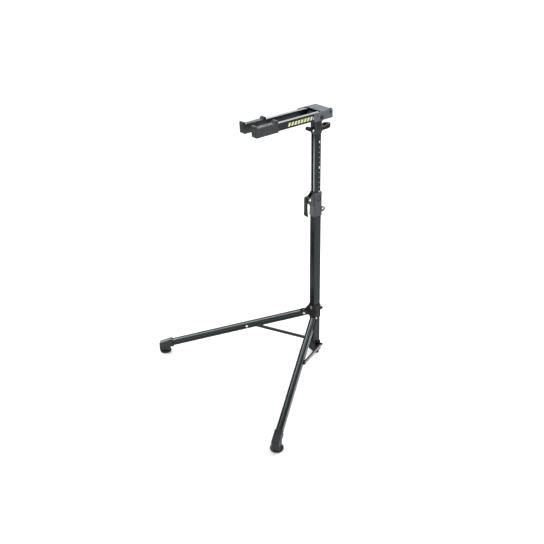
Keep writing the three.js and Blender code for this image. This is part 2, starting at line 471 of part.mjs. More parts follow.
// ---------- cradle ----------
function buildCradle() {
  const cradle = new THREE.Group(); // origin on the fold pivot
  cradle.position.set(0, PIVOT_Y, PIVOT_Z);
  cradle.rotation.set(rad(ARM_TILT), 0, 0);
  stand.add(cradle);
  const boltY = 41.5, boltZ = 13.5;
  const span = YOKE_IN + YOKE_PLATE;

  const plateTop = ARM_RISE + ARM_HEIGHT / 2 + 0.4 + YOKE_PLATE;
  const cheekFront = [...points([-36, plateTop], [-36, -4]), ...arc(-31, -5, 5, 180, 270, 4),
    ...arc(47, -5, 5, 270, 360, 4)];
  const cheekRear = {
    near: arc(boltY, plateTop - 5, 10, 0, 150, 8),
    far: points([52, plateTop - 4], [49, plateTop]),
  };
  const cheeks = [[1, 'near'], [-1, 'far']].map(([s, name]) =>
    softSideProfile([...cheekFront, ...cheekRear[name]], YOKE_PLATE / 2, 0.5)
      .translate(s * (YOKE_IN + YOKE_PLATE / 2), 0, 0));
  const plate = block(-span + 0.5, span - 0.5, -1, 50, plateTop - YOKE_PLATE, plateTop);
  const slot = toX(prism(roundedOutline(3, 9, 1.5), 10)).rotateX(rad(35)).translate(span - 5, -21, 12);
  add(cradle, 'yoke', cut(join(plate, ...cheeks), rodX(4.2, -70, 70, 0, 0), rodX(2.7, -70, 70, boltY, boltZ),
    slot, slot.clone().translate(-2 * span, 0, 0)), CASTING);
  const yokeBolt = screwX(5, 2.6, 2.5, 0, 2 * span + 5).rotateZ(Math.PI).translate(span + GAP, boltY, boltZ);
  add(cradle, 'yoke_bolt', yokeBolt, DARK_STEEL);
  const nut = new THREE.CylinderGeometry(4.8, 4.8, 3.4, 6).rotateZ(Math.PI / 2)
    .translate(-span - GAP - 1.7, boltY, boltZ);
  add(cradle, 'yoke_nut', cut(nut, rodX(2.6, -70, -40, boltY, boltZ)), DARK_STEEL);

  for (const [name, s] of [['near', 1], ['far', -1]]) {
    const arm = new THREE.Group();
    arm.position.set(s * ARM_OFFSET, 0, ARM_RISE);
    cradle.add(arm);
    const outline = new THREE.Shape(roundedOutline(ARM_WIDTH, ARM_HEIGHT, 3));
    outline.holes.push(new THREE.Path(
      roundedOutline(ARM_WIDTH - 2 * ARM_WALL, ARM_HEIGHT - 2 * ARM_WALL, 3 - ARM_WALL)));
    const tube = toY(prism(outline, ARM_REAR - ARM_TIP)).translate(0, ARM_TIP, 0);
    const hole = (r, y, z) => rodX(r, -30, 30, y, z - ARM_RISE);
    add(arm, `${name}_arm`, cut(tube, hole(4.2, 0, 0), hole(2.7, boltY, boltZ),
      rodX(2.2, 0, s * 20, -188, 0)), ANODISED);
    const lid = toY(softPrism(roundedOutline(ARM_WIDTH - 0.4, ARM_HEIGHT - 0.4, 3), 3, 0.6));
    const plug = toY(prism(roundedOutline(ARM_WIDTH - 4, ARM_HEIGHT - 4, 1.2), 5));
    const cap = join(lid.translate(0, ARM_REAR + GAP, 0), plug.translate(0, ARM_REAR - 4, 0));
    add(arm, `${name}_arm_cap`, cap, PLASTIC);
    const screw = screwX(3.6, 1.6, 2, 0, 5).rotateZ(s > 0 ? Math.PI : 0);
    add(arm, `${name}_pad_screw`, screw.translate(s * (ARM_WIDTH / 2 + GAP), -188, 0), DARK_STEEL);

    // saddle pad: a sleeve over the arm's tip with a raised lip at each end
    const low = -ARM_HEIGHT / 2 - 3.4, dip = ARM_HEIGHT / 2 + 3.4;
    const frontLip = ARM_HEIGHT / 2 + 12.5, rearLip = ARM_HEIGHT / 2 + 12;
    const padSide = [...arc(PAD_TIP + 6, low + 6, 6, 180, 270, 5),
      ...arc(PAD_REAR - 4, low + 4, 4, 270, 360, 3), ...arc(PAD_REAR - 5, rearLip - 5, 5, 0, 120, 5),
      ...points([PAD_REAR - 14, dip], [PAD_TIP + 13, dip]), ...arc(PAD_TIP + 5, frontLip - 5, 5, 60, 180, 5)];
    const socket = toY(prism(roundedOutline(ARM_WIDTH + 2 * GAP, ARM_HEIGHT + 2 * GAP, 3), 110));
    const sleeve = softSideProfile(padSide, ARM_WIDTH / 2 + 2.7, 1.6);
    const pad = cut(sleeve, socket.translate(0, ARM_TIP - GAP, 0));
    add(arm, `${name}_pad`, pad, PAD);
  }
}

buildColumn();
buildClamp();
buildHub();
buildLeg(-1, 'a');
buildLeg(1, 'b');
buildBrace(-1, 'a');
buildBrace(1, 'b');
buildHead();
buildCradle();

export default stand;
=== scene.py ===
import json
from math import asin, atan2, cos, degrees, pi, radians, sin, tan

import bmesh
import bpy
import numpy as np
from mathutils import Matrix, Vector


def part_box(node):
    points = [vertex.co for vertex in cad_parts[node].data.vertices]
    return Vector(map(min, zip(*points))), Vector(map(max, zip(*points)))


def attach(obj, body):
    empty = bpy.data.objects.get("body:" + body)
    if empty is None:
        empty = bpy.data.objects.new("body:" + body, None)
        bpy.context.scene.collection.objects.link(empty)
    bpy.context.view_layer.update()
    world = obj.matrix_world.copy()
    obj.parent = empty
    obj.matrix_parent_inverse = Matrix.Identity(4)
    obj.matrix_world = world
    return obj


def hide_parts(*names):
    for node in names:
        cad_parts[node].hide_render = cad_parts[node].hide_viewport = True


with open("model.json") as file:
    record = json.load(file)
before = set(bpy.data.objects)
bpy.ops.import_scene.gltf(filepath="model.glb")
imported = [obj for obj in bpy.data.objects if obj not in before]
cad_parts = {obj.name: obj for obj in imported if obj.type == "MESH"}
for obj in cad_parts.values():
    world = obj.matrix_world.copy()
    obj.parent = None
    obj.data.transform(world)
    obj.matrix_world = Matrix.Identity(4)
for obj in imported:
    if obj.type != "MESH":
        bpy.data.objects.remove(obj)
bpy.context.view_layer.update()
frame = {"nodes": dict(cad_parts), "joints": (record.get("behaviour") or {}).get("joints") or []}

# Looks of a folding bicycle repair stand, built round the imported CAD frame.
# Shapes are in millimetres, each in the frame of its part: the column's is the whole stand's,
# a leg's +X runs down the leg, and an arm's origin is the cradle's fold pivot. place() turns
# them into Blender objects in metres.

scene = bpy.context.scene
MM = 0.001
joints = {joint["name"]: joint for joint in frame["joints"]}


# ---------- the frame's own dimensions ----------
def span(node, axis):
    """Lowest and highest coordinate of a CAD node on an axis, in mm."""
    low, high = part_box(node)
    return low[axis] / MM, high[axis] / MM


def pivot(joint):
    """A hinge's position, in mm."""
    return Vector(joints[joint]["pos_m"]) / MM


LOWER_HALF = span("lower_tube", 0)[1]
LOWER_Z = span("lower_tube", 2)
UPPER_HALF = span("upper_tube", 0)[1]
UPPER_Z = span("upper_tube", 2)
FOOT_Z = span("column_foot", 2)
BOOT_Z = span("base_bracket", 2)
CLAMP_Z = span("clamp_collar", 2)
HUB_Z = span("hub_collar", 2)
CAM = pivot("clamp_lever_turn")
HEAD_PIN = pivot("head_lever_turn")
FOLD = pivot("cradle_fold")
HIP = {"a": pivot("leg_a_fold"), "b": pivot("leg_b_fold")}
BRACE_ROOT = {"a": pivot("brace_a_fold"), "b": pivot("brace_b_fold")}
LOOP_Z = HEAD_PIN.z
KNOB_Z = sum(span("hub_lock_knob", 2)) / 2
FOOT_LEFT, FOOT_RIGHT = span("leg_a_foot", 0)
FOOT_RADIUS = (FOOT_RIGHT - FOOT_LEFT) / 2
FOOT_HIGH = span("leg_a_foot", 2)[1]

# the rest are the CAD's driving dimensions
GAP = 0.3
LEG_YAW = degrees(atan2(joints["leg_b_fold"]["axis"][1], joints["leg_b_fold"]["axis"][0]))
LEG_SLOPE, LEG_OFFSET, HIP_RADIUS = 14.65, 5, 45
LEG_WIDTH, LEG_HEIGHT, LEG_END, FOOT_AT = 25, 26, 608, 652
BRACE_AT, BRACE_HEIGHT, BRACE_THICK = 253.2, 13, 7
ARM_TILT, ARM_OFFSET, ARM_RISE, ARM_WIDTH, ARM_HEIGHT = 2.3, 36.4, 6.4, 20, 28
ARM_REAR, ARM_TIP, PAD_REAR, PAD_TIP = 49, -287, -197, -298
YOKE_IN, YOKE_PLATE = ARM_OFFSET + ARM_WIDTH / 2 + 0.4, 2.5
CHEEK = YOKE_IN + YOKE_PLATE
LOWER_BORE, UPPER_BORE, TUBE_CORNER, BORE_CORNER = 28.8, 25, 2.4, 2.6
BASE_BOLT = (-7, 32)  # cross bolt of the column's boot
BRACE_OUT = 29.5  # from the column's axis to the middle of a brace's lower end
DISH = (1, 716)  # round dish in the clamp's sides
LUG_Y, LUG_Z = 37, 660  # eye behind the clamp
HUB_SCREWS = {"hub_screw_upper": 228, "hub_screw_lower": 220}
YOKE_BOLT = (41.5, 13.5)  # from the fold pivot
PAD_SCREW_Y = -188
# radii of the bores for M5 bolts, the fold bolt, the legs' rivets and the plungers
BOLT_BORE, FOLD_BORE, RIVET_BORE, PLUNGER_BORE = 2.7, 4.2, 3.15, 3.3
SIDES = {"a": -1, "b": 1}
ARMS = {"near": 1, "far": -1}


def move(x, y, z):
    return Matrix.Translation((x, y, z))


def turn(axis, angle):
    return Matrix.Rotation(radians(angle), 4, axis)


STAND = Matrix.Identity(4)
HIPS = {letter: turn("Z", side * LEG_YAW - 90) for letter, side in SIDES.items()}
LEGS = {
    letter: HIPS[letter] @ move(HIP_RADIUS, side * LEG_OFFSET, HIP["a"].z) @ turn("Y", LEG_SLOPE)
    for letter, side in SIDES.items()
}
# a brace's hinge line, from the column's axis outwards
BRACE_AXES = {
    letter: turn("Z", LEG_YAW if side > 0 else 180 - LEG_YAW) for letter, side in SIDES.items()
}
CRADLE = move(*FOLD) @ turn("X", ARM_TILT)


# ---------- outlines ----------
def arc(cx, cy, r, start, end, steps=10):
    angles = (radians(start + (end - start) * i / steps) for i in range(steps + 1))
    return [(cx + r * cos(a), cy + r * sin(a)) for a in angles]


def circle(r, sides=40, cx=0.0, cy=0.0):
    return arc(cx, cy, r, 0, 360, sides)[:-1]


def rounded(width, height, r, steps=6, cx=0.0, cy=0.0):
    """Rectangle with round corners, counter-clockwise from the first quadrant."""
    x, y = width / 2 - r, height / 2 - r
    corners = ((x, y, 0), (-x, y, 90), (-x, -y, 180), (x, -y, 270))
    return [p for u, v, a in corners for p in arc(cx + u, cy + v, r, a, a + 90, steps)]


def extrusion(width, height, corner, groove, depth, wall, steps=6):
    """Rounded rectangle with a soft-walled groove along the middle of each side."""
    per_corner = steps + 1
    corners = rounded(width, height, corner, steps)
    halves = (height / 2, width / 2, height / 2, width / 2)
    ease = [(k / 5, (k / 5) ** 2 * (3 - 2 * k / 5)) for k in range(6)]
    one_wall = [(groove / 2 - wall * t, depth * s) for t, s in ease]
    profile = one_wall + [(-u, d) for u, d in reversed(one_wall)]
    out = []
    for side in range(4):
        out += corners[side * per_corner:(side + 1) * per_corner]
        a = radians(90 * (side + 1))
        for u, d in profile:
            v = halves[side] - d
            out.append((u * sin(a) + v * cos(a), v * sin(a) - u * cos(a)))
    return out


def hex_outline(r, cx=0.0, cy=0.0):
    return arc(cx, cy, r, 0, 360, 6)[:-1]


def fluted(r, count=14, depth=0.45):
    """Circle with small dips all round, for a finger grip."""
    turns = [2 * pi * i / (8 * count) for i in range(8 * count)]
    radii = [r - depth * max(0, cos(count * a)) ** 2 for a in turns]
    return [(dip * cos(a), dip * sin(a)) for dip, a in zip(radii, turns)]


def inset(outline, distance):
    """The outline moved inwards, each corner along its mitre."""
    p = np.array(outline, float)
    before, after = p - np.roll(p, 1, 0), np.roll(p, -1, 0) - p
    normals = []
    for edge in (before, after):
        edge = edge / np.linalg.norm(edge, axis=1, keepdims=True)
        normals.append(np.stack((-edge[:, 1], edge[:, 0]), 1))
    mitre = (normals[0] + normals[1]) / (1 + (normals[0] * normals[1]).sum(1, keepdims=True))
    return p + distance * mitre


# ---------- solids: (vertices, faces) in mm ----------
def loft(outline, levels):
    """Closed solid along +Z: each level is (z, how far the outline is drawn in there)."""
    p = np.array(outline, float)
    p = p[np.linalg.norm(p - np.roll(p, 1, 0), axis=1) > 1e-6]
    ahead = np.roll(p, -1, 0)
    if (p[:, 0] * ahead[:, 1] - ahead[:, 0] * p[:, 1]).sum() < 0:
        p = p[::-1]
    n = len(p)
    rings = [np.c_[inset(p, d), np.full(n, z)] for z, d in levels]
    faces = [tuple(reversed(range(n))), tuple(range((len(levels) - 1) * n, len(levels) * n))]
    for ring in range(len(levels) - 1):
        for i in range(n):
            j = (i + 1) % n
            faces.append((ring * n + i, ring * n + j, (ring + 1) * n + j, (ring + 1) * n + i))
    return np.vstack(rings), faces


def round_levels(z0, z1, bevel, steps=3):
    """Levels of a straight solid whose two end edges are quarter rounds."""
    if not bevel:
        return [(z0, 0), (z1, 0)]
    angles = [pi / 2 * k / steps for k in range(steps + 1)]
    low = [(z0 + bevel * (1 - cos(a)), bevel * (1 - sin(a))) for a in angles]
    return low + [(z0 + z1 - z, d) for z, d in reversed(low)]


def prism(outline, z0, z1, bevel=0.0, steps=3):
    return loft(outline, round_levels(z0, z1, bevel, steps))


def moved(solid, matrix):
    m = np.array(matrix, float)
    return solid[0] @ m[:3, :3].T + m[:3, 3], solid[1]


TO_X = Matrix(((0, 0, 1, 0), (1, 0, 0, 0), (0, 1, 0, 0), (0, 0, 0, 1)))
TO_Y = Matrix(((1, 0, 0, 0), (0, 0, -1, 0), (0, 1, 0, 0), (0, 0, 0, 1)))


def along_x(outline, x0, x1, bevel=0.0, steps=3):
    """Prism of a (y, z) outline between two x."""
    return moved(prism(outline, min(x0, x1), max(x0, x1), bevel, steps), TO_X)


def along_y(outline, y0, y1, bevel=0.0, steps=3):
    """Prism of an (x, z) outline between two y."""
    return moved(prism(outline, min(-y0, -y1), max(-y0, -y1), bevel, steps), TO_Y)


def both_x(outline, x0, x1, bevel=0.0):
    """The same prism on the right and on the left."""
    return [along_x(outline, s * x0, s * x1, bevel) for s in (1, -1)]


def rod_x(r, x0, x1, y, z, bevel=0.0, sides=40):
    return along_x(circle(r, sides, y, z), x0, x1, bevel)


def rod_y(r, y0, y1, x, z, bevel=0.0):
    return along_y(circle(r, 40, x, z), y0, y1, bevel)


def block(x0, x1, y0, y1, z0, z1, bevel=0.0):
    outline = ((x0, y0), (x1, y0), (x1, y1), (x0, y1))
    return prism(outline, z0, z1, bevel)


def lathe(profile, sides=48):
    """Closed solid turned round Z; the profile of (radius, z) starts and ends on the axis."""
    verts = [(0, 0, profile[0][1])]
    rings = []
    for r, z in profile[1:-1]:
        rings.append(len(verts))
        turns = (2 * pi * i / sides for i in range(sides))
        verts += [(r * cos(a), r * sin(a), z) for a in turns]
    verts.append((0, 0, profile[-1][1]))
    last = len(verts) - 1
    faces = []
    for i in range(sides):
        j = (i + 1) % sides
        faces.append((0, rings[0] + j, rings[0] + i))
        for low, high in zip(rings, rings[1:]):
            faces.append((low + i, low + j, high + j, high + i))
        faces.append((last, rings[-1] + i, rings[-1] + j))
    return np.array(verts, float), faces


def lathe_x(profile, x, y, z, side):
    """Turned solid whose axis points along +X (side 1) or -X (side -1) from a point."""
    return moved(lathe(profile), move(x, y, z) @ turn("Y", 90 * side))


def dome(radius, height, shank, length):
    """Profile of a rivet or button head: it stands out along +Z, its shank runs to -length."""
    crown = [(radius * sin(a), height * (0.25 + 0.75 * cos(a)))
             for a in (pi / 2 * k / 6 for k in range(1, 7))]
    return [(0, -length), (shank, -length), (shank, 0), (radius, 0), *reversed(crown), (0, height)]


# ---------- meshes and pieces ----------
def linked(name, data):
    made = bpy.data.objects.new(name, data)
    scene.collection.objects.link(made)
    return made


def raw_object(vertices, faces, name="solid"):
    mesh = bpy.data.meshes.new(name)
    mesh.from_pydata(vertices, [], faces)
    return linked(name, mesh)


def combined(base, add=(), cut=(), keep=()):
    """Mesh of a solid with others joined to it, then cut from it, then kept in common with it."""
    whole = raw_object(*base)
    helpers = []
    for operation, solids in (("UNION", add), ("DIFFERENCE", cut), ("INTERSECT", keep)):
        for solid in solids:
            helpers.append(raw_object(*solid))
            step = whole.modifiers.new(operation, "BOOLEAN")
            step.operation, step.object, step.solver = operation, helpers[-1], "MANIFOLD"
    bpy.context.view_layer.update()
    result = whole.evaluated_get(bpy.context.evaluated_depsgraph_get())
    mesh = bpy.data.meshes.new_from_object(result)
    for helper in (*helpers, whole):
        old = helper.data
        bpy.data.objects.remove(helper)
        bpy.data.meshes.remove(old)
    return mesh


SHARP = radians(32)
JOIN, STRAIGHT = 0.004, radians(0.4)  # mm apart, and angle, below which a cut's scraps are joined


def soften(mesh, edge):
    """Joins what the cuts split, rounds the sharp edges and scales the mesh to metres."""
    work = bmesh.new()
    work.from_mesh(mesh)
    bmesh.ops.remove_doubles(work, verts=work.verts, dist=JOIN)
    bmesh.ops.dissolve_limit(work, angle_limit=STRAIGHT, verts=work.verts, edges=work.edges)
    if edge:
        sharp = [e for e in work.edges if e.is_manifold and e.calc_face_angle(0) > SHARP]
        bmesh.ops.bevel(work, geom=sharp, offset=edge, offset_type="OFFSET", segments=2,
                        profile=0.6, affect="EDGES", clamp_overlap=False)
    bmesh.ops.scale(work, vec=(MM, MM, MM), verts=work.verts)
    bmesh.ops.recalc_face_normals(work, faces=work.faces)
    work.to_mesh(mesh)
    work.free()


def place(name, body, material, nodes, base, at=STAND, add=(), cut=(), keep=(), edge=0.0):
    """A finished piece that rides on a body and stands for the named CAD nodes."""
    mesh = combined(base, add, cut, keep)
    soften(mesh, edge)
    mesh.name = name
    mesh.polygons.foreach_set("use_smooth", [True] * len(mesh.polygons))
    mesh.set_sharp_from_angle(angle=SHARP)
    mesh.materials.clear()
    mesh.materials.append(material)
    made = linked(name, mesh)
    shading = made.modifiers.new("flat faces", "WEIGHTED_NORMAL")
    shading.keep_sharp, shading.weight = True, 60
    matrix = at.copy()
    matrix.translation = at.translation * MM
    made.matrix_world = matrix
    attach(made, body)
    if nodes:
        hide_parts(*nodes)


# ---------- finishes ----------
class Finish:
    """A Principled material with short calls for the nodes that the finishes share."""

    def __init__(self, name, **values):
        self.material = bpy.data.materials.new(name)
        self.material.use_nodes = True
        self.tree = self.material.node_tree
        self.shader = self.tree.nodes["Principled BSDF"]
        for socket, value in values.items():
            self.shader.inputs[socket.replace("_", " ")].default_value = value

    def node(self, kind, inputs, **settings):
        made = self.tree.nodes.new(kind)
        for setting, value in settings.items():
            setattr(made, setting, value)
        for socket, value in inputs.items():
            if isinstance(value, bpy.types.NodeSocket):
                self.tree.links.new(value, made.inputs[socket])
            else:
                made.inputs[socket].default_value = value
        return made

    def spot(self, stretch=(1, 1, 1)):
        """The piece's own coordinates in metres, squeezed along its axes."""
        here = self.tree.nodes.new("ShaderNodeTexCoord")
        inputs = {"Vector": here.outputs["Object"], "Scale": stretch}
        return self.node("ShaderNodeMapping", inputs).outputs[0]

    def noise(self, scale, detail=3.0, roughness=0.55, stretch=(1, 1, 1)):
        inputs = {"Vector": self.spot(stretch), "Scale": scale, "Detail": detail,
                  "Roughness": roughness}
        return self.node("ShaderNodeTexNoise", inputs).outputs["Fac"]

    def cells(self, scale):
        inputs = {"Vector": self.spot(), "Scale": scale}
        return self.node("ShaderNodeTexVoronoi", inputs).outputs["Distance"]

    def range(self, value, low, high, out_low, out_high):
        inputs = {"Value": value, "From Min": low, "From Max": high,
                  "To Min": out_low, "To Max": out_high}
        return self.node("ShaderNodeMapRange", inputs).outputs[0]

    def multiply(self, a, b):
        return self.node("ShaderNodeMath", {0: a, 1: b}, operation="MULTIPLY").outputs[0]

    def plus(self, a, b):
        return self.node("ShaderNodeMath", {0: a, 1: b}, operation="ADD", use_clamp=True).outputs[0]

    def mix(self, factor, a, b):
        made = self.node("ShaderNodeMix", {0: factor}, data_type="RGBA")
        for socket, value in ((made.inputs[6], a), (made.inputs[7], b)):
            if isinstance(value, bpy.types.NodeSocket):
                self.tree.links.new(value, socket)
            else:
                socket.default_value = (*value, 1)
        return made.outputs[2]

    def edges(self, radius, low=0.5, high=0.9):
        """About 1 on outer edges and corners, broken up by noise, and 0 elsewhere."""
        rounded_normal = self.node("ShaderNodeBevel", {"Radius": radius}, samples=4).outputs[0]
        geometry = self.tree.nodes.new("ShaderNodeNewGeometry")
        same = self.node("ShaderNodeVectorMath", {0: rounded_normal, 1: geometry.outputs["Normal"]},
                         operation="DOT_PRODUCT").outputs["Value"]
        turned = self.range(same, 0.985, 0.86, 0, 1)
        return self.multiply(turned, self.range(self.noise(140, 5), low, high, 0, 1))

    def bump(self, height, distance, strength=1.0, under=None):
        inputs = {"Height": height, "Distance": distance, "Strength": strength}
        if under:
            inputs["Normal"] = under
        return self.node("ShaderNodeBump", inputs).outputs[0]

    def use(self, **sockets):
        for socket, value in sockets.items():
            self.tree.links.new(value, self.shader.inputs[socket.replace("_", " ")])
        return self.material


def extruded(name, axis):
    """Black satin anodising on a drawn section: fine lines along it, faint clouding, rubbed edges."""
    f = Finish(name, IOR=1.41, Specular_Tint=(0.84, 0.95, 1.0, 1.0))
    stretch = [1.0, 1.0, 1.0]
    stretch["XYZ".index(axis)] = 0.012
    lines = f.noise(1500, 4, 0.6, stretch)
    cloud = f.noise(16, 4)
    scuffs = f.range(f.noise(90, 6, 0.7, [s * 2 for s in stretch]), 0.62, 0.72, 0, 1)
    colour = f.mix(cloud, (0.0018, 0.0026, 0.0030), (0.0040, 0.0054, 0.0062))
    colour = f.mix(f.multiply(scuffs, f.range(cloud, 0.4, 0.7, 0, 0.5)), colour, (0.02, 0.022, 0.024))
    colour = f.mix(f.edges(0.0006), colour, (0.030, 0.033, 0.035))
    rough = f.plus(f.range(lines, 0.3, 0.7, 0.17, 0.24), f.range(cloud, 0.35, 0.65, 0, 0.05))
    return f.use(Base_Color=colour, Roughness=rough, Normal=f.bump(lines, 0.00004, 0.5))


def painted(name, dark, light, rough, peel, gloss=0.5):
    """Powder paint: orange peel, slight tone changes, chips at the edges."""
    f = Finish(name, IOR=1.5, Specular_IOR_Level=gloss)
    cloud = f.noise(24, 5)
    skin = f.noise(peel, 2)
    edge = f.edges(0.0009, 0.52, 0.75)
    colour = f.mix(edge, f.mix(cloud, dark, light), [0.35 * c + 0.16 for c in light])
    roughness = f.plus(f.range(skin, 0.3, 0.7, rough, rough + 0.09), f.range(cloud, 0.4, 0.7, 0, 0.05))
    return f.use(Base_Color=colour, Roughness=roughness, Normal=f.bump(skin, 0.00012, 0.35))


def moulded(name, dark, light, rough, ior=1.48):
    """Glass-filled moulding: spark-eroded grain, faint flow clouding, edges rubbed paler."""
    f = Finish(name, IOR=ior)
    cloud = f.noise(30, 5)
    pits = f.cells(2600)
    fine = f.noise(2600 * 0.7, 2)
    colour = f.mix(f.edges(0.001), f.mix(cloud, dark, light), [1.8 * c + 0.008 for c in light])
    roughness = f.plus(f.range(pits, 0.1, 0.7, rough, rough + 0.12), f.range(cloud, 0.4, 0.7, 0, 0.07))
    return f.use(Base_Color=colour, Roughness=roughness,
                 Normal=f.bump(fine, 0.00006, 0.4, f.bump(pits, 0.00008, 0.45)))


def rubber(name, dark, light, rough, grain=1500):
    """Rubber: matt, finely pebbled, with pale patches of dust and a slight bloom."""
    f = Finish(name, IOR=1.47, Sheen_Weight=0.06, Sheen_Roughness=0.5)
    cloud = f.noise(45, 6, 0.65)
    pebble = f.cells(grain)
    colour = f.mix(cloud, dark, light)
    dust = f.range(f.noise(260, 4), 0.6, 0.8, 0, 0.35)
    colour = f.mix(dust, colour, [2.2 * c + 0.01 for c in light])
    roughness = f.range(cloud, 0.35, 0.65, rough, rough + 0.12)
    return f.use(Base_Color=colour, Roughness=roughness, Normal=f.bump(pebble, 0.00012, 0.5))


def metal(name, dark, light, rough, metallic):
    """Plated or blackened steel: turned marks, clouded plating."""
    f = Finish(name, Metallic=metallic, IOR=1.5)
    cloud = f.noise(160, 5)
    marks = f.noise(900, 4, 0.6, (1, 0.2, 1))
    rubbed = [min(1, 1.3 * c + 0.02) for c in light]
    colour = f.mix(f.edges(0.0005, 0.3, 0.7), f.mix(cloud, dark, light), rubbed)
    roughness = f.plus(f.range(marks, 0.3, 0.7, rough, rough + 0.12), f.range(cloud, 0.4, 0.7, 0, 0.05))
    return f.use(Base_Color=colour, Roughness=roughness, Normal=f.bump(marks, 0.00003, 0.3))


def printed(name, dark, light):
    """Pad-printed ink, a little worn."""
    f = Finish(name, IOR=1.45)
    worn = f.range(f.noise(420, 5, 0.7), 0.58, 0.72, 0, 0.6)
    colour = f.mix(worn, light, dark)
    return f.use(Base_Color=colour, Roughness=f.range(worn, 0, 0.6, 0.42, 0.6),
                 Normal=f.bump(worn, 0.00002, 0.5))


COLUMN_ALLOY = extruded("column anodising", "Z")
LEG_ALLOY = extruded("leg anodising", "X")
ARM_ALLOY = extruded("arm anodising", "Y")
BLACK_PAINT = painted("black powder paint", (0.003, 0.0035, 0.004), (0.006, 0.0065, 0.007), 0.27, 900)
YOKE_PAINT = painted("grey powder paint", (0.092, 0.102, 0.120), (0.120, 0.132, 0.152), 0.5, 1300, 0.1)
CHARCOAL = moulded("charcoal moulding", (0.036, 0.040, 0.047), (0.057, 0.062, 0.072), 0.42)
BOOT_PLASTIC = moulded("boot moulding", (0.008, 0.009, 0.010), (0.014, 0.0155, 0.0175), 0.38, ior=1.42)
HEAD_PLASTIC = moulded("head moulding", (0.011, 0.012, 0.014), (0.020, 0.022, 0.025), 0.38)
BLACK_PLASTIC = moulded("black moulding", (0.0022, 0.0023, 0.0025), (0.0045, 0.0047, 0.005), 0.36,
                        ior=1.36)
FOOT_RUBBER = rubber("foot rubber", (0.005, 0.0054, 0.006), (0.010, 0.0105, 0.0115), 0.6)
PAD_RUBBER = rubber("pad rubber", (0.009, 0.0115, 0.0145), (0.015, 0.0185, 0.0225), 0.24, 1900)
BRIGHT_STEEL = metal("zinc plate", (0.62, 0.63, 0.64), (0.80, 0.80, 0.79), 0.2, 1.0)
DARK_STEEL = metal("black oxide", (0.016, 0.017, 0.019), (0.032, 0.033, 0.035), 0.3, 0.4)
PALE_INK = printed("pale ink", (0.06, 0.06, 0.055), (0.62, 0.65, 0.63))
STRIPE_INK = printed("stripe ink", (0.10, 0.10, 0.04), (0.68, 0.71, 0.36))


# ---------- fasteners ----------
RIVET_DIMPLE = [(0, -1), (1.5, -1), (1.5, 0.1), (1.1, 0.6), (0, 0.8)]


def hex_socket(r, depth, x, y, z, side):
    """Hexagon pocket sunk into a head whose outer face is at x."""
    return along_x(hex_outline(r, y, z), x - side * depth, x + side * 2)


def button_screw(name, body, node, x, y, z, side, radius, height, shank, length, at=STAND):
    """Domed socket screw whose head stands out of a face at x, on the given side."""
    base = lathe_x(dome(radius, height, shank, length), x, y, z, side)
    place(name, body, DARK_STEEL, (node,), base, at,
          cut=(hex_socket(radius * 0.45, height * 0.65, x + side * height, y, z, side),), edge=0.15)


def hex_nut(name, body, node, r, x0, x1, y, z, bore, at=STAND):
    """Nut between x0 and a larger x1, with turned corners."""
    chamfer = r * 0.09
    profile = [(0, x0), (r * 0.9, x0), (r, x0 + chamfer), (r, x1 - chamfer), (r * 0.9, x1), (0, x1)]
    turned = moved(lathe(profile), move(0, y, z) @ turn("Y", 90))
    place(name, body, DARK_STEEL, (node,), along_x(hex_outline(r, y, z), x0, x1), at,
          cut=(rod_x(bore, x0 - 3, x1 + 3, y, z),), keep=(turned,), edge=0.12)


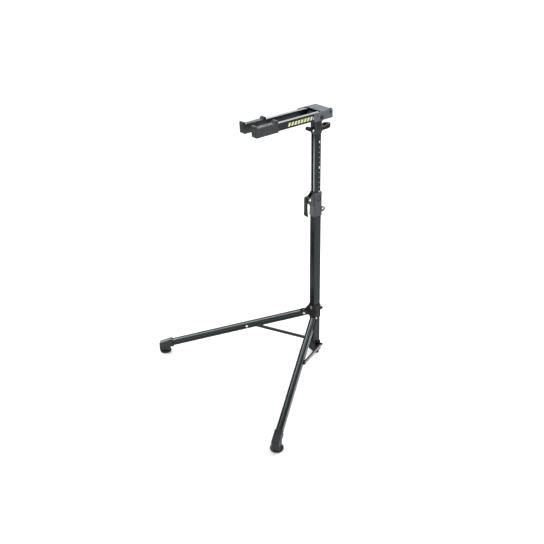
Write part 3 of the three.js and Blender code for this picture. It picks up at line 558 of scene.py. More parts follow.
# ---------- column ----------
def build_column():
    foot_outline = rounded(40, 18, 8, 10, cy=3)
    levels = [(FOOT_Z[0] + z, d) for z, d in (
        (0, 1.6), (0.6, 0.6), (1.6, 0), (3.6, 0), (4, 0.7), (4.8, 0.7), (5.2, 0), (7.2, 0),
        (7.6, 0.7), (8.4, 0.7), (8.8, 0), (11.4, 0), (12.4, 0.4), (13, 1.4))]
    treads = [block(-30, 30, y - 0.6, y + 0.6, -1, 0.9) for y in (-2, 1, 4, 7)]
    place("column_foot_rubber", "base", FOOT_RUBBER, ("column_foot",),
          loft(foot_outline, levels), cut=treads)

    boot = prism(rounded(39, 39, 6, 8, cy=1), BOOT_Z[0], BOOT_Z[1], 1.8)
    skirt = prism(rounded(40, 41, 6, 8, cy=1.5), BOOT_Z[0], BOOT_Z[0] + 10, 1.6)
    bosses, holes = [], []
    for letter, facing in BRACE_AXES.items():
        bosses.append(moved(rod_x(9, 8, 25, 0, BRACE_ROOT[letter].z, 1.2), facing))
        holes.append(moved(rod_x(3.2, 21.8, 26, 0, BRACE_ROOT[letter].z), facing))
    front, panel = rounded(24, 22, 3, 5, cy=40), rounded(22, 20, 3, 5, cy=46)
    recesses = [along_y(front, -30, -17.8), *both_x(panel, 19.0, 30)]
    width = 2 * LOWER_HALF + 2 * GAP
    bore = prism(rounded(width, width, BORE_CORNER), LOWER_Z[0] - GAP, BOOT_Z[1] + 5)
    bolt_hole = rod_x(BOLT_BORE, -30, 30, *BASE_BOLT)
    place("base_boot", "base", BLACK_PLASTIC, ("base_bracket",), boot,
          add=(skirt, *bosses), cut=(bore, bolt_hole, *holes, *recesses), edge=0.45)
    button_screw("base_cross_bolt", "base", "base_bolt", 19.8, *BASE_BOLT, 1,
                 5, 2.6, 2.5, 43)
    hex_nut("base_cross_nut", "base", "base_nut", 4.6, -23.0, -19.8, *BASE_BOLT, 2.6)
    reach = BRACE_OUT + BRACE_THICK / 2 + 0.7
    for letter, facing in BRACE_AXES.items():
        button_screw(f"brace_{letter}_shoulder_screw", "base", f"brace_{letter}_pivot_screw",
                     reach, 0, BRACE_ROOT[letter].z, 1, 6, 2.6, 3, reach - 22, facing)

    section = extrusion(2 * LOWER_HALF, 2 * LOWER_HALF, TUBE_CORNER, 15, 0.6, 1.6, 8)
    bore = prism(rounded(LOWER_BORE, LOWER_BORE, BORE_CORNER), LOWER_Z[0] - 5, LOWER_Z[1] + 5)
    place("lower_column", "base", COLUMN_ALLOY, ("lower_tube",),
          prism(section, *LOWER_Z, 0.5), cut=(bore, bolt_hole))

    section = extrusion(2 * UPPER_HALF, 2 * UPPER_HALF, TUBE_CORNER, 17.6, 0.9, 8.4, 8)
    bore = prism(rounded(UPPER_BORE, UPPER_BORE, 2.0), UPPER_Z[0] - 5, UPPER_Z[1] + 5)
    place("upper_column", "mast", COLUMN_ALLOY, ("upper_tube",),
          prism(section, *UPPER_Z, 0.4), cut=(bore, rod_y(PLUNGER_BORE, 8, 30, 0, LOOP_Z)))


TICK_STEP, TICK_LOW, TICK_COUNT, TICK_PROUD, TICK_START = 20, 462, 25, 0.12, 3.4
LONG_TICK, SHORT_TICK = (5.0, 9.0), (3.0, 1.8)  # width across the face, height


def build_scale():
    """Height marks on the mast: small ones every 20 mm, a big one every 100 mm, no figures."""
    ticks = []
    for i in range(TICK_COUNT):
        z = TICK_LOW + i * TICK_STEP
        width, high = LONG_TICK if i % 5 == 4 else SHORT_TICK
        ticks.append(block(UPPER_HALF - 2, UPPER_HALF + TICK_PROUD, TICK_START, TICK_START + width,
                           z - high / 2, z + high / 2))
    place("height_marks", "mast", PALE_INK, (), ticks[0], add=ticks[1:])


# ---------- height clamp ----------
def build_clamp():
    body = prism(rounded(38, 38, 6, 8), *CLAMP_Z, 1.8, 4)
    rim = prism(rounded(40, 40, 7, 8), CLAMP_Z[0], CLAMP_Z[0] + 7, 1.3)
    ear = [*arc(*CAM.yz, 9.5, 62, 228, 22), (-17, CAM.z - 37), (-16, CAM.z - 37),
           (-15, 741), (-18.6, 741)]
    ears = both_x(ear, 8.4, 12.8, 0.7)
    lug = [*arc(LUG_Y, LUG_Z, 10, -70, 90, 18), (17, 670), (17, 647), (20, 647)]
    button = [(0, 0), (7.6, 0), (7.6, 0.7), (6.9, 1.3), (0, 1.3)]
    ring = [(0, 0), (11.3, 0), (11.3, 0.5), (0, 0.5)]
    dishes = both_x(circle(11.5, 40, *DISH), 17.4, 28)
    buttons = [lathe_x(button, s * 17.0, *DISH, s) for s in (1, -1)]
    rings = [lathe_x(ring, s * 17.1, *DISH, s) for s in (1, -1)]
    waists = both_x(rounded(26, 30, 4, 6, cx=-0.5, cy=676), 18.6, 28)
    cuts = [
        prism(rounded(32.6, 32.6, BORE_CORNER), CLAMP_Z[0] - 1, 700.3),
        prism(rounded(28.8, 28.8, BORE_CORNER), CLAMP_Z[0], CLAMP_Z[1] + 1),
        block(-7.3, 7.3, -30, -10, CAM.z - 10.3, CAM.z + 10.3),
        rod_x(3.2, -20, 20, *CAM.yz), rod_x(6, -20, 20, LUG_Y + 0.6, LUG_Z),
        *dishes, *waists,
    ]
    place("height_clamp", "base", CHARCOAL, ("clamp_collar",), body,
          add=(rim, *ears, along_x(lug, -4, 4, 1.2)), cut=cuts, edge=0.5)
    place("clamp_dish_button", "base", CHARCOAL, (), buttons[0], add=buttons[1:])
    place("clamp_dish_ring", "base", BLACK_PLASTIC, (), rings[0], add=rings[1:])
    y_in = -UPPER_HALF - GAP
    place("clamp_brake_shoe", "base", BLACK_PLASTIC, ("clamp_shoe",),
          block(-7, 7, CAM.y + 9.3, y_in, CAM.z - 10, CAM.z + 10), edge=0.8)
    head = [(0, 0), (3, 0), (4.6, 0), (4.6, 0.9), (4.1, 1.5), (2.2, 1.8), (0, 1.85)]
    place("clamp_cam_pin", "base", BRIGHT_STEEL, ("clamp_pin",),
          rod_x(3, -13.5, 13.5, *CAM.yz),
          add=[lathe_x(head, s * 13.0, *CAM.yz, s) for s in (1, -1)])

    paddle = [*arc(*CAM.yz, 9, -75, 130, 18), (-50.5, 729), (-53, 727), (-54, 718), (-54, 700),
              (-54, 684), (-54, 672), (-55, 660), (-54, 654.5), (-50.8, 650), (-47, 647.2),
              (-44, 646.6), (-42.2, 648.4), (-42.2, 651), (-43.6, 660), (-45.3, 680), (-45, 700),
              (-42.6, 706)]
    panel = [(-51.5, 672), (-47.2, 672), (-47.4, 690), (-48, 704), (-51.5, 706)]
    ridges = [rod_x(0.9, -9, 9, -55.2, z, sides=16) for z in (656, 660, 664, 668, 672)]
    place("clamp_cam_lever", "clamp_handle", BLACK_PLASTIC, ("clamp_lever",),
          along_x(paddle, -7.4, 7.4, 1.3, 4),
          cut=(rod_x(3.25, -20, 20, *CAM.yz), *both_x(panel, 6.4, 12), *ridges), edge=0.3)


# ---------- hub ----------
def build_hub():
    pivot_z = HIP["a"].z
    body = prism(rounded(38, 38, 6, 8), *HUB_Z, 1.8, 4)
    rim = prism(rounded(40, 40, 7, 8), HUB_Z[1] - 6, HUB_Z[1], 1.3)
    web = [*arc(HIP_RADIUS, pivot_z, 10.5, -90, 80, 16), (30, pivot_z + 14), (16, pivot_z + 14),
           (16, pivot_z - 10.5)]
    rib = [(46, pivot_z), (49, pivot_z + 7), (22, HUB_Z[1] - 4), (13, HUB_Z[1] - 4), (13, pivot_z)]
    tongues, holes = [], []
    for letter, side in SIDES.items():
        arm = HIPS[letter] @ move(0, side * LEG_OFFSET, 0)
        tongues.append(moved(along_y(web, -9.6, 9.6, 0.9), arm))
        tongues.append(moved(along_y(rib, -4.5, 4.5, 0.9), arm))
        holes.append(moved(rod_y(RIVET_BORE, -20, 20, HIP_RADIUS, pivot_z), arm))
    boss = rod_y(7.6, 15, 27, 0, KNOB_Z, 1.0)
    cheeks = both_x(rounded(17, 22, 3, 5, cx=1.5, cy=218), 18.4, 24)
    flats = [block(x0, x1, -12.5, 30, 150, 260) for x0, x1 in ((22.4, 60), (-60, -22.4))]
    bore = prism(rounded(32.8, 32.8, BORE_CORNER), HUB_Z[0] - 1, HUB_Z[1] + 1)
    screw_holes = [rod_y(1.7, -25, -12, 0, z) for z in HUB_SCREWS.values()]
    place("leg_hub", "hub", BLACK_PLASTIC, ("hub_collar",), body,
          add=(rim, *tongues, boss), edge=0.45,
          cut=(bore, *flats, *cheeks, *holes, rod_y(PLUNGER_BORE, 10, 30, 0, KNOB_Z), *screw_holes))
    for node, z in HUB_SCREWS.items():
        head = moved(lathe(dome(2.4, 1.4, 1.4, 2.6)), move(0, -19.3, z) @ turn("X", 90))
        slots = [block(-w, w, -22, -20.1, z - h, z + h) for w, h in ((1.5, 0.3), (0.3, 1.5))]
        place(f"{node}_cross_head", "hub", BRIGHT_STEEL, (node,), head, cut=slots)
    half = LEG_WIDTH / 2 + GAP
    heads = [moved(lathe(dome(5.2, 2.2, 3, 1)), move(0, s * half, 0) @ turn("X", -90 * s))
             for s in (1, -1)]
    dimples = [moved(lathe(RIVET_DIMPLE), move(0, s * (half + 2.5), 0) @ turn("X", 90 * s))
               for s in (1, -1)]
    for letter, side in SIDES.items():
        place(f"leg_{letter}_hip_rivet", "hub", BRIGHT_STEEL,
              (f"leg_{letter}_pivot_rivet",), rod_y(3, -half, half, 0, 0),
              HIPS[letter] @ move(HIP_RADIUS, side * LEG_OFFSET, pivot_z), add=heads, cut=dimples)

    grip = loft(fluted(7.2), [(27.3, 1.4), (27.7, 0.6), (28.5, 0), (38.2, 0), (39.8, 0.5),
                              (40.8, 1.4), (41.2, 2.6)])
    at_knob = move(0, 0, KNOB_Z) @ turn("X", -90)
    stem = lathe([(0, 16.8), (2.2, 16.8), (3, 17.8), (3, 29), (0, 29)])
    dimple = lathe([(0, 40.4), (3, 40.4), (3.6, 42), (0, 42)])
    place("hub_plunger_knob", "hub_knob", BLACK_PLASTIC, ("hub_lock_knob",),
          moved(grip, at_knob), add=(moved(stem, at_knob),), cut=(moved(dimple, at_knob),))


# ---------- legs and braces ----------
# (radius, height) up the rubber foot, as on one of 25 mm radius and 9 mm height
FOOT_PROFILE = [
    (0, 1.2), (6, 1.2), (6.6, 0), (9.4, 0), (10, 1.2), (12, 1.2), (12.6, 0), (15.4, 0), (16, 1.2),
    (18, 1.2), (18.6, 0), (21, 0), (22.8, 0.5), (24.3, 1.7), (25, 3.2), (25, 4.2), (24.5, 4.5),
    (24.5, 5), (25, 5.3), (25, 6.6), (24.6, 7.9), (23.6, 8.7), (22, 9), (20.4, 9), (20, 8.4),
    (18.6, 8.4), (18.2, 9), (0, 9)]


def build_leg(letter, side):
    at = LEGS[letter]
    body = f"leg_{letter}"
    section = extrusion(LEG_WIDTH, LEG_HEIGHT, TUBE_CORNER, 10, 1.5, 4.4, 7)
    bore = along_x(rounded(21, 21, 3), -20, LEG_END + 5)
    fork = block(-20, 14, -10.2, 10.2, -20, 20)
    cheek = [*arc(0, 0, 13, 90, 270, 24), (LEG_END + 5, -13), (LEG_END + 5, 13)]
    place(f"leg_{letter}_extrusion", body, LEG_ALLOY, (f"leg_{letter}_tube",),
          along_x(section, -13, LEG_END, 0.4), at,
          cut=(bore, fork, rod_y(3.2, -20, 20, 0, 0), rod_y(RIVET_BORE, -20, 20, BRACE_AT, 0)),
          keep=(along_y(cheek, -20, 20),), edge=0.25)
    half = LEG_WIDTH / 2 + GAP
    stud = moved(lathe(dome(5.2, 2, 3, LEG_WIDTH - 0.2)),
                 move(BRACE_AT, -side * half, 0) @ turn("X", side * 90))
    dimple = moved(lathe(RIVET_DIMPLE),
                   move(BRACE_AT, -side * (half + 2.3), 0) @ turn("X", -side * 90))
    place(f"leg_{letter}_brace_stud", body, BRIGHT_STEEL,
          (f"leg_{letter}_brace_rivet",), stud, at, cut=(dimple,))

    slope = tan(radians(LEG_SLOPE))
    hip_z = HIP["a"].z

    def axis_z(r):
        return hip_z - (r - HIP_RADIUS) * slope

    end, sole = FOOT_AT + 24, 9.3
    side_view = [(FOOT_AT - 36, axis_z(FOOT_AT - 36) - 16), (FOOT_AT - 22, axis_z(FOOT_AT - 22) - 16),
                 (FOOT_AT - 18, sole), (end - 3, sole), (end, 12),
                 *arc(end - 4, axis_z(end) + 12, 4, 0, 75, 5),
                 (FOOT_AT - 28, axis_z(FOOT_AT - 28) + 16)]
    to_leg = turn("Y", -LEG_SLOPE) @ move(-HIP_RADIUS, 0, -hip_z)
    shell = moved(along_y(side_view, -15.1, 15.1, 2.9, 5), to_leg)
    lip = along_x(rounded(32, 34, 7, 8), 590, 597, 1.4, 4)
    second = along_x(rounded(30.8, 32.8, 6.4, 8), 601, 604.5, 0.8)
    pocket = along_x(rounded(25.6, 26.6, BORE_CORNER), 560, LEG_END + GAP)
    middle = axis_z(FOOT_AT) - 2
    scallop = rounded(28, 15, 5, 6, cx=FOOT_AT + 1, cy=middle)
    scallops = [moved(along_y(scallop, s * 14.5, s * 24), to_leg) for s in (1, -1)]
    rib_sides = [rounded(2, 13, 0.9, 4, cx=FOOT_AT - 6 + 7 * i, cy=middle) for i in range(3)]
    ribs = [moved(along_y(rib, s * 13, s * 15.0, 0.3), to_leg) for s in (1, -1) for rib in rib_sides]
    place(f"leg_{letter}_end_boot", body, BOOT_PLASTIC, (f"leg_{letter}_boot",),
          shell, at, add=(lip, second), cut=(pocket, *scallops), edge=0.5)
    place(f"leg_{letter}_boot_ribs", body, BOOT_PLASTIC, (),
          ribs[0], at, add=ribs[1:])
    # painted shade: a plate of the dark foot rubber on the boot's end face, which darkens that face
    # where it turns away from the light
    toe = moved(along_x(rounded(24, 25, 7, 8, cy=24.8), end - 2, end + 1.1, 0.8), to_leg)
    place(f"leg_{letter}_toe_painted_shade", body, FOOT_RUBBER, (), toe, at)
    foot = lathe([(r * FOOT_RADIUS / 25, z * FOOT_HIGH / 9) for r, z in FOOT_PROFILE], 72)
    treads = [moved(block(8, 22, -0.7, 0.7, -1, 0.9), turn("Z", 30 * i)) for i in range(12)]
    place(f"leg_{letter}_rubber_foot", body, FOOT_RUBBER, (f"leg_{letter}_foot",), foot,
          HIPS[letter] @ move(FOOT_AT, side * LEG_OFFSET, 0), cut=treads)


def build_brace(letter, side):
    slope = radians(LEG_SLOPE)
    tip = Vector((HIP_RADIUS + BRACE_AT * cos(slope),
                  side * (LEG_OFFSET + (LEG_WIDTH + BRACE_THICK) / 2 + 2 * GAP),
                  HIP["a"].z - BRACE_AT * sin(slope)))
    root = Vector((0, side * BRACE_OUT, BRACE_ROOT[letter].z))
    run = tip - root
    swing = Matrix.Rotation(atan2(run.y, run.x), 4, "Z")
    dive = Matrix.Rotation(-asin(run.z / run.length), 4, "Y")
    at = HIPS[letter] @ Matrix.Translation(root) @ swing @ dive
    r, t, length = BRACE_HEIGHT / 2, BRACE_THICK / 2, run.length
    outline = [*arc(length, 0, r, -90, 90, 16), *arc(0, 0, r, 90, 270, 16)]
    channel = [*arc(length - 18, 0, 4, -90, 90, 12), *arc(18, 0, 4, 90, 270, 12)]
    inner = (-t - 1, -t + 3) if side > 0 else (t - 3, t + 1)
    body = f"brace_link_{letter}"
    place(f"brace_{letter}_bar", body, BLACK_PAINT, (f"brace_{letter}",),
          along_y(outline, -t, t, 1.0), at,
          cut=(rod_y(3.4, -9, 9, 0, 0), rod_y(3.4, -9, 9, length, 0), along_y(channel, *inner)),
          edge=0.25)
    outside = move(length, side * (t + GAP), 0) @ turn("X", -side * 90)
    place(f"brace_{letter}_tip_rivet", body, DARK_STEEL, (f"brace_{letter}_rivet",),
          moved(lathe(dome(5, 2, 3, BRACE_THICK)), outside), at)


# ---------- head ----------
def build_head():
    sleeve = prism(rounded(33, 33, 5, 8), 975, 1035, 1.4, 4)
    knuckle_side = [*arc(*FOLD.yz, 14, 60, 215, 22), (-17, 1024), (16, 1024), (16, 1058), (-6, 1058)]
    knuckle = along_x(knuckle_side, -22, 22, 1.2, 3)
    ribs = [block(-12, 12, -18.5, -10, z, z + 3, 0.8) for z in (1001.5, 1009, 1016.5)]
    side_ribs = [block(s * 17.3 - 0.8, s * 17.3 + 0.8, y - 1.2, y + 1.2, 990, 1022, 0.5)
                 for s in (1, -1) for y in (-6, 0, 6)]
    ear = [*arc(*HEAD_PIN.yz, 6.5, 60, 270, 20), (-14, 979), (-14, 999)]
    ears = both_x(ear, 8.5, 12.5, 0.6)
    socket = along_x([(12, 976.5), (17, 976.5), (24.3, 983), (24.3, 999), (12, 1003)], -11, 11, 1.2)
    rest = along_x([(0, 1050), (14, 1050), (14, 1067.3), (0, 1066.9)], -13, 13, 0.3)
    place("cradle_head", "mast", HEAD_PLASTIC, ("head_block",), sleeve,
          add=(knuckle, rest, *ribs, *side_ribs, *ears, socket),
          cut=(prism(rounded(28.6, 28.6, BORE_CORNER), 974, 1016.3),
               rod_x(FOLD_BORE, -40, 40, *FOLD.yz),
               rod_x(BOLT_BORE, -20, 20, *HEAD_PIN.yz),
               rod_y(PLUNGER_BORE, 10, 40, 0, LOOP_Z)), edge=0.45)

    bolt_head = along_x(hex_outline(7, *FOLD.yz), CHEEK + 0.9, CHEEK + 4.3, 0.5)
    flange = rod_x(7.6, CHEEK + GAP, CHEEK + 1.1, *FOLD.yz, 0.2)
    place("fold_bolt", "mast", DARK_STEEL, ("pivot_bolt",),
          rod_x(4, -CHEEK - 6, CHEEK + 1, *FOLD.yz, 0.5), add=(flange, bolt_head),
          cut=(rod_x(3.4, CHEEK + 3.8, CHEEK + 8, *FOLD.yz),), edge=0.2)
    hex_nut("fold_nut", "mast", "pivot_nut", 7, -CHEEK - GAP - 4.5, -CHEEK - GAP, *FOLD.yz, 4.1)
    outer = ARM_OFFSET - ARM_WIDTH / 2 - GAP
    for name, s in ARMS.items():
        place(f"fold_washer_{name}", "mast", BLACK_PLASTIC, (f"pivot_washer_{name}",),
              rod_x(10, s * 22.3, s * outer, *FOLD.yz, 0.5),
              cut=(rod_x(FOLD_BORE, -60, 60, *FOLD.yz),), edge=0.2)

    lever_side = [*arc(*HEAD_PIN.yz, 5.8, -150, 60, 16), (-27, 1001.6), (-32, 1004), (-36, 1005),
                  *arc(-40, 998, 7, 90, 235, 14), (-39.5, 990.2), (-36, 988)]
    finger = [rod_x(0.8, -9, 9, y, z, sides=16) for y, z in ((-47.2, 998), (-46.6, 1001), (-46.4, 995))]
    place("head_cam_lever", "head_handle", BLACK_PLASTIC, ("head_lever",),
          along_x(lever_side, -8.1, 8.1, 1.3, 4),
          cut=(rod_x(2.75, -20, 20, *HEAD_PIN.yz), *finger), edge=0.25)
    head = [(0, 0), (2.5, 0), (4.2, 0), (4.2, 0.8), (3.7, 1.3), (2, 1.6), (0, 1.65)]
    place("head_cam_pin", "mast", BRIGHT_STEEL, ("head_lever_pin",),
          rod_x(2.5, -13, 13, *HEAD_PIN.yz),
          add=[lathe_x(head, s * 12.75, *HEAD_PIN.yz, s) for s in (1, -1)])

    front = 24.6
    plan = [(13, front), (16, 48), *arc(0, 49, 16, 0, 180, 28), (-16, 48), (-13, front)]
    hole = [(8.5, 32), (8.5, 47), *arc(0, 47, 8.5, 0, 180, 24), (-8.5, 47), (-8.5, 32)]
    rise = [(20, 983.5), (30, 984.4), (40, 986), (50, 988), (58, 990.4), (63, 992.6), (66.5, 996),
            (67, 1000), (66, 1003.4), (64, 1004.5), (48, 1004.5), (42, 1002), (36, 999), (28, 997.6),
            (20, 997)]
    place("release_hoop", "pull_loop", BLACK_PLASTIC, ("release_loop",),
          prism(plan, 975, 1010), keep=(along_x(rise, -17, 17),),
          cut=(prism(hole, 970, 1015),), edge=1.1)
    place("release_plunger", "pull_loop", BRIGHT_STEEL, (),
          rod_y(3, 11, 24.5, 0, LOOP_Z, 0.7))


# ---------- cradle ----------
STRIPE_STEP, STRIPE_WIDTH, STRIPE_LEAN = 14.2, 9.2, 6.0
STRIPE_REAR, STRIPE_FRONT, STRIPE_HALF = -66, -152, 6.2
SLOT_LEAN = 0.61  # of the slots in the yoke's cheeks, in radians


def build_cradle():
    top = ARM_RISE + ARM_HEIGHT / 2 + 0.4 + YOKE_PLATE
    # folded sheet: a channel with rounded bends, trimmed to the cheeks' outline
    outer = rounded(2 * CHEEK, 80, 4.5, 8, cy=top - 40)
    inner = rounded(2 * YOKE_IN, 80, 2.0, 6, cy=top - YOKE_PLATE - 40)
    sheet = along_y(outer, -40, 56)
    trim = along_x([*arc(-31, -5, 5, 180, 270, 8), *arc(47, -5, 5, 270, 360, 8), (52, top - 4),
                    *arc(48, top - 4, 4, 0, 90, 6), *arc(-33, top - 3, 3, 90, 180, 6)], -60, 60)
    ear = along_x(circle(10, 48, YOKE_BOLT[0], top - 5), YOKE_IN, CHEEK)
    slot = [(y * cos(SLOT_LEAN) - z * sin(SLOT_LEAN) - 21,
             y * sin(SLOT_LEAN) + z * cos(SLOT_LEAN) + 12) for y, z in rounded(3, 9, 1.45, 6)]
    half = YOKE_IN + 0.1
    opening = prism([(-half, -50), (half, -50), (half, -9), *arc(YOKE_IN - 9.9, -9, 10, 0, 90, 8),
                     *arc(9.9 - YOKE_IN, -9, 10, 90, 180, 8), (-half, -9)], top - 8, top + 8)
    bolt_hole = rod_x(BOLT_BORE, -70, 70, *YOKE_BOLT)
    place("arm_yoke", "cradle", YOKE_PAINT, ("yoke",), sheet, CRADLE, keep=(trim,),
          cut=(along_y(inner, -50, 60), opening, rod_x(FOLD_BORE, -70, 70, 0, 0), bolt_hole,
               along_x(slot, -60, 60)), edge=0.5)
    place("arm_yoke_ear", "cradle", YOKE_PAINT, (), ear, CRADLE,
          cut=(block(YOKE_IN - 5, CHEEK + 5, 20, 60, 0, top - 2.2), bolt_hole), edge=0.5)
    button_screw("yoke_cross_bolt", "cradle", "yoke_bolt", CHEEK + GAP, *YOKE_BOLT, 1,
                 5, 2.6, 2.5, 2 * CHEEK + 5, CRADLE)
    hex_nut("yoke_cross_nut", "cradle", "yoke_nut", 4.8, -CHEEK - GAP - 3.4, -CHEEK - GAP,
            *YOKE_BOLT, 2.6, CRADLE)

    for name, s in ARMS.items():
        at = CRADLE @ move(s * ARM_OFFSET, 0, ARM_RISE)
        tube = along_y(rounded(ARM_WIDTH, ARM_HEIGHT, 3, 8), ARM_TIP, ARM_REAR, 0.4)
        hollow = along_y(rounded(ARM_WIDTH - 3.2, ARM_HEIGHT - 3.2, 1.4), ARM_TIP - 5, ARM_REAR + 5)
        place(f"{name}_arm_tube", "cradle", ARM_ALLOY, (f"{name}_arm",), tube, at,
              cut=(hollow, rod_x(FOLD_BORE, -30, 30, 0, -ARM_RISE),
                   rod_x(BOLT_BORE, -30, 30, YOKE_BOLT[0], YOKE_BOLT[1] - ARM_RISE),
                   rod_x(2.2, 0, s * 20, PAD_SCREW_Y, 0)))
        lid = along_y(rounded(ARM_WIDTH - 0.4, ARM_HEIGHT - 0.4, 3, 6),
                      ARM_REAR + GAP, ARM_REAR + GAP + 3, 1.1, 4)
        plug = along_y(rounded(ARM_WIDTH - 4, ARM_HEIGHT - 4, 1.2), ARM_REAR - 4, ARM_REAR + 1)
        dimple = along_y(rounded(9, 15, 2, 5), ARM_REAR + 2.7, ARM_REAR + 8)
        place(f"{name}_arm_end_cap", "cradle", BLACK_PLASTIC, (f"{name}_arm_cap",),
              lid, at, add=(plug,), cut=(dimple,), edge=0.25)
        button_screw(f"{name}_pad_button_screw", "cradle", f"{name}_pad_screw",
                     s * (ARM_WIDTH / 2 + GAP), PAD_SCREW_Y, 0, s, 3.6, 1.6, 2, 5, at)
        build_stripes(name, s, at)
        build_pad(name, at)


def build_stripes(name, s, at):
    """Plain slanted bars along the arm's outer side, with a short block of pale ones behind."""
    face, lean, h = s * ARM_WIDTH / 2, STRIPE_LEAN / 2, STRIPE_HALF
    coloured, pale = int((STRIPE_REAR - STRIPE_FRONT) / STRIPE_STEP) + 1, 2
    bars = []
    for i in range(coloured + pale):
        y = STRIPE_FRONT + i * STRIPE_STEP
        outline = [(y - lean, -h), (y - lean + STRIPE_WIDTH, -h),
                   (y + lean + STRIPE_WIDTH, h), (y + lean, h)]
        bars.append(along_x(outline, face - s * 0.1, face + s * 0.1))
    place(f"{name}_arm_stripes", "cradle", STRIPE_INK, (),
          bars[0], at, add=bars[1:coloured])
    place(f"{name}_arm_pale_stripes", "cradle", PALE_INK, (),
          bars[coloured], at, add=bars[coloured + 1:])


def build_pad(name, at):
    """Saddle pad: a thick rubber sleeve with a lip at each end and grip ribs across the saddle."""
    low, dip = -ARM_HEIGHT / 2 - 3.4, ARM_HEIGHT / 2 + 3.4
    front_lip, rear_lip = ARM_HEIGHT / 2 + 12.5, ARM_HEIGHT / 2 + 12
    side_view = [*arc(PAD_TIP + 6, low + 6, 6, 180, 270, 12),
                 *arc(PAD_REAR - 4, low + 4, 4, 270, 360, 8),
                 *arc(PAD_REAR - 5, rear_lip - 5, 5, 0, 135, 14),
                 *arc(PAD_REAR - 15.5, dip + 3, 3, 320, 270, 5),
                 *arc(PAD_TIP + 15, dip + 3, 3, 270, 220, 5),
                 *arc(PAD_TIP + 5, front_lip - 5, 5, 45, 180, 14)]
    pad = along_x(side_view, -12.7, 12.7, 1.9, 4)
    socket = along_y(rounded(ARM_WIDTH + 2 * GAP, ARM_HEIGHT + 2 * GAP, 3, 6),
                     ARM_TIP - GAP, ARM_TIP + 110)
    first, last, count = PAD_TIP + 22, PAD_REAR - 22, 9
    grooves = [rod_x(2.2, -20, 20, first + (last - first) * i / (count - 1), dip + 0.3, sides=20)
               for i in range(count)]
    front, rear = PAD_REAR - 9.6, PAD_REAR - 9.0
    seam = [(front, low - 2), (rear, low - 2), (rear, dip + 2), (front, dip + 2)]
    place(f"{name}_saddle_pad", "cradle", PAD_RUBBER, (f"{name}_pad",), pad, at,
          cut=(socket, *grooves, *both_x(seam, 12.2, 15)), edge=0.3)


# ---------- studio, in metres ----------
FLOOR_HALF = 40.0
# the floor glows a little, more so away from the stand: distances, then strengths
GLOW = (1.2, 3.2, 0.1, 0.5)
# bright walls under a darker ceiling: heights on the sky's sphere, then strengths
SKY = {"From Min": 0.4, "From Max": 0.8, "To Min": 1.1, "To Max": 0.4}
# name, place, what it points at, width, height, watts
SOFTBOXES = (
    ("back softbox", (-2.4, 1.9, 2.35), (0, -0.2, 1.0), 2.0, 1.0, 19),
    ("left softbox", (-2.7, 0.5, 1.45), (-0.1, -0.3, 0.1), 1.5, 1.3, 24),
    ("front fill", (-1.6, -2.6, 1.6), (0, -0.2, 0.7), 2.0, 1.5, 45),
    ("top softbox", (0.5, -1.0, 3.6), (0, -0.1, 0.4), 2.4, 2.4, 14),
    ("rear softbox", (0.1, 1.75, 2.35), (0.2, -0.3, 0.1), 1.5, 1.1, 66),
)
STRIP_BEARING, STRIP_RADIUS, STRIP_HEIGHT = -63, 1.05, 0.38
FRONT_FLAG_BEARINGS, FRONT_FLAG_RADIUS = (-54, -22), 0.95
BACK_FLAG_CENTRE, BACK_FLAG_ALONG = (-2.76, 2.30), (0.64, 0.768)
BACK_FLAG_HALF, BACK_FLAG_TOP = 2.6, 1.65


def build_studio():
    size = FLOOR_HALF
    corners = [(-size, -size, 0), (size, -size, 0), (size, size, 0), (-size, size, 0)]
    floor = raw_object(corners, [(0, 1, 2, 3)], "floor")
    paper = Finish("white floor", IOR=1.4, Emission_Color=(1, 1, 1, 1))
    away = paper.node("ShaderNodeVectorMath", {0: paper.spot()}, operation="LENGTH").outputs["Value"]
    paper.use(Base_Color=paper.mix(paper.noise(2.0), (0.90, 0.90, 0.90), (0.93, 0.93, 0.93)),
              Roughness=paper.range(paper.noise(60), 0.3, 0.7, 0.85, 0.95),
              Emission_Strength=paper.range(away, *GLOW))
    floor.data.materials.append(paper.material)

    world = bpy.data.worlds.new("soft studio")
    world.use_nodes = True
    scene.world = world
    tree = world.node_tree
    sky = tree.nodes["Background"]
    sky.inputs["Color"].default_value = (1, 1, 1, 1)
    direction = tree.nodes.new("ShaderNodeTexCoord")
    height = tree.nodes.new("ShaderNodeSeparateXYZ")
    fade = tree.nodes.new("ShaderNodeMapRange")
    fade.interpolation_type = "SMOOTHSTEP"
    for socket, value in SKY.items():
        fade.inputs[socket].default_value = value
    tree.links.new(direction.outputs["Generated"], height.inputs[0])
    tree.links.new(height.outputs["Z"], fade.inputs["Value"])
    tree.links.new(fade.outputs[0], sky.inputs["Strength"])

    for box in SOFTBOXES:
        made = softbox(*box)
        made.visible_glossy = box[0] != "front fill"
    strip = turned_stand(STRIP_BEARING, STRIP_RADIUS)
    softbox("strip light", (*strip, STRIP_HEIGHT), (0, 0, STRIP_HEIGHT), 0.24, 0.5, 3.2)
    left, right = (turned_stand(bearing, FRONT_FLAG_RADIUS) for bearing in FRONT_FLAG_BEARINGS)
    black_card("front flag", standing(left, right, 0.16, 0.95))
    black_card("floor flag", beside_leg_a(-12, -0.13, -12, 12))
    black_card("inner flag", beside_leg_a(-0.13, -0.005, -0.6, 0.01))
    ends = [tuple(c + a * t for c, a in zip(BACK_FLAG_CENTRE, BACK_FLAG_ALONG))
            for t in (-BACK_FLAG_HALF, BACK_FLAG_HALF)]
    black_card("back flag", standing(*ends, 0, BACK_FLAG_TOP))


def standing(left, right, low, high):
    """Corners of an upright card between two points of the plan."""
    return [(*left, low), (*right, low), (*right, high), (*left, high)]


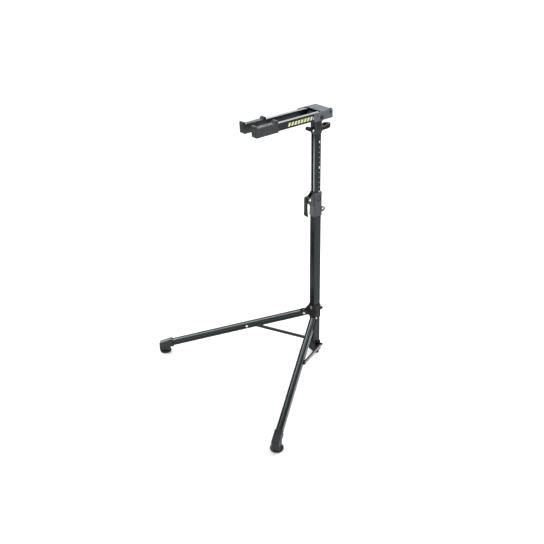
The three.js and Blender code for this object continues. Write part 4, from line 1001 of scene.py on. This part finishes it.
def beside_leg_a(across0, across1, along0, along1):
    """Corners of a patch of floor; "along" runs back from leg_a's foot, "across" to its right."""
    across, along = (0.787, -0.617), (0.617, 0.787)
    return [(across[0] * u + along[0] * v, across[1] * u + along[1] * v, 0.002)
            for u, v in ((across0, along0), (across1, along0), (across1, along1), (across0, along1))]


def turned_stand(bearing, radius):
    """Plan position at a bearing from straight ahead; negative is towards leg_a's side."""
    return sin(radians(bearing)) * radius, -cos(radians(bearing)) * radius


def black_card(name, corners):
    """A black card, seen in reflections only, that shades one side of the stand."""
    card = raw_object(corners, [(0, 1, 2, 3)], name)
    cloth = Finish(name, Roughness=1.0, Specular_IOR_Level=0.0)
    cloth.use(Base_Color=cloth.mix(cloth.noise(30), (0.001, 0.001, 0.001), (0.003, 0.003, 0.003)))
    card.data.materials.append(cloth.material)
    for ray in ("camera", "diffuse", "shadow", "transmission", "volume_scatter"):
        setattr(card, f"visible_{ray}", False)


def softbox(name, where, target, width, height, watts):
    lamp = bpy.data.lights.new(name, "AREA")
    lamp.shape, lamp.size, lamp.size_y, lamp.energy = "RECTANGLE", width, height, watts
    made = linked(name, lamp)
    made.location = where
    made.rotation_euler = (Vector(target) - Vector(where)).to_track_quat("-Z", "Y").to_euler()
    made.visible_camera = False
    return made


def build_camera():
    """Standing height, to the right of the front, looking down at the stand."""
    bearing, distance, height = radians(50.2), 2.6688, 1.764
    pitch, yaw, roll = radians(27.26), bearing + radians(3.81), radians(-1.26)
    forward = Vector((-sin(yaw) * cos(pitch), cos(yaw) * cos(pitch),
                      -sin(pitch)))
    level = Vector((cos(yaw), sin(yaw), 0))
    upright = level.cross(forward)
    right = cos(roll) * level + sin(roll) * upright
    up = cos(roll) * upright - sin(roll) * level
    lens = bpy.data.cameras.new("camera")
    lens.lens, lens.sensor_width, lens.clip_end = 48.11, 36.0, 200.0
    camera = linked("camera", lens)
    camera.matrix_world = Matrix((right, up, -forward)).transposed().to_4x4()
    camera.location = (sin(bearing) * distance, -cos(bearing) * distance, height)
    bpy.context.scene.camera = camera


build_camera()
build_studio()
scene.view_settings.view_transform = "Standard"
build_column()
build_scale()
build_clamp()
build_hub()
for leg_letter, leg_side in SIDES.items():
    build_leg(leg_letter, leg_side)
    build_brace(leg_letter, leg_side)
build_head()
build_cradle()
# the bush inside the column keeps its CAD mesh
bush = frame["nodes"]["mast_end_bush"].data
bush.materials.clear()
bush.materials.append(BLACK_PLASTIC)
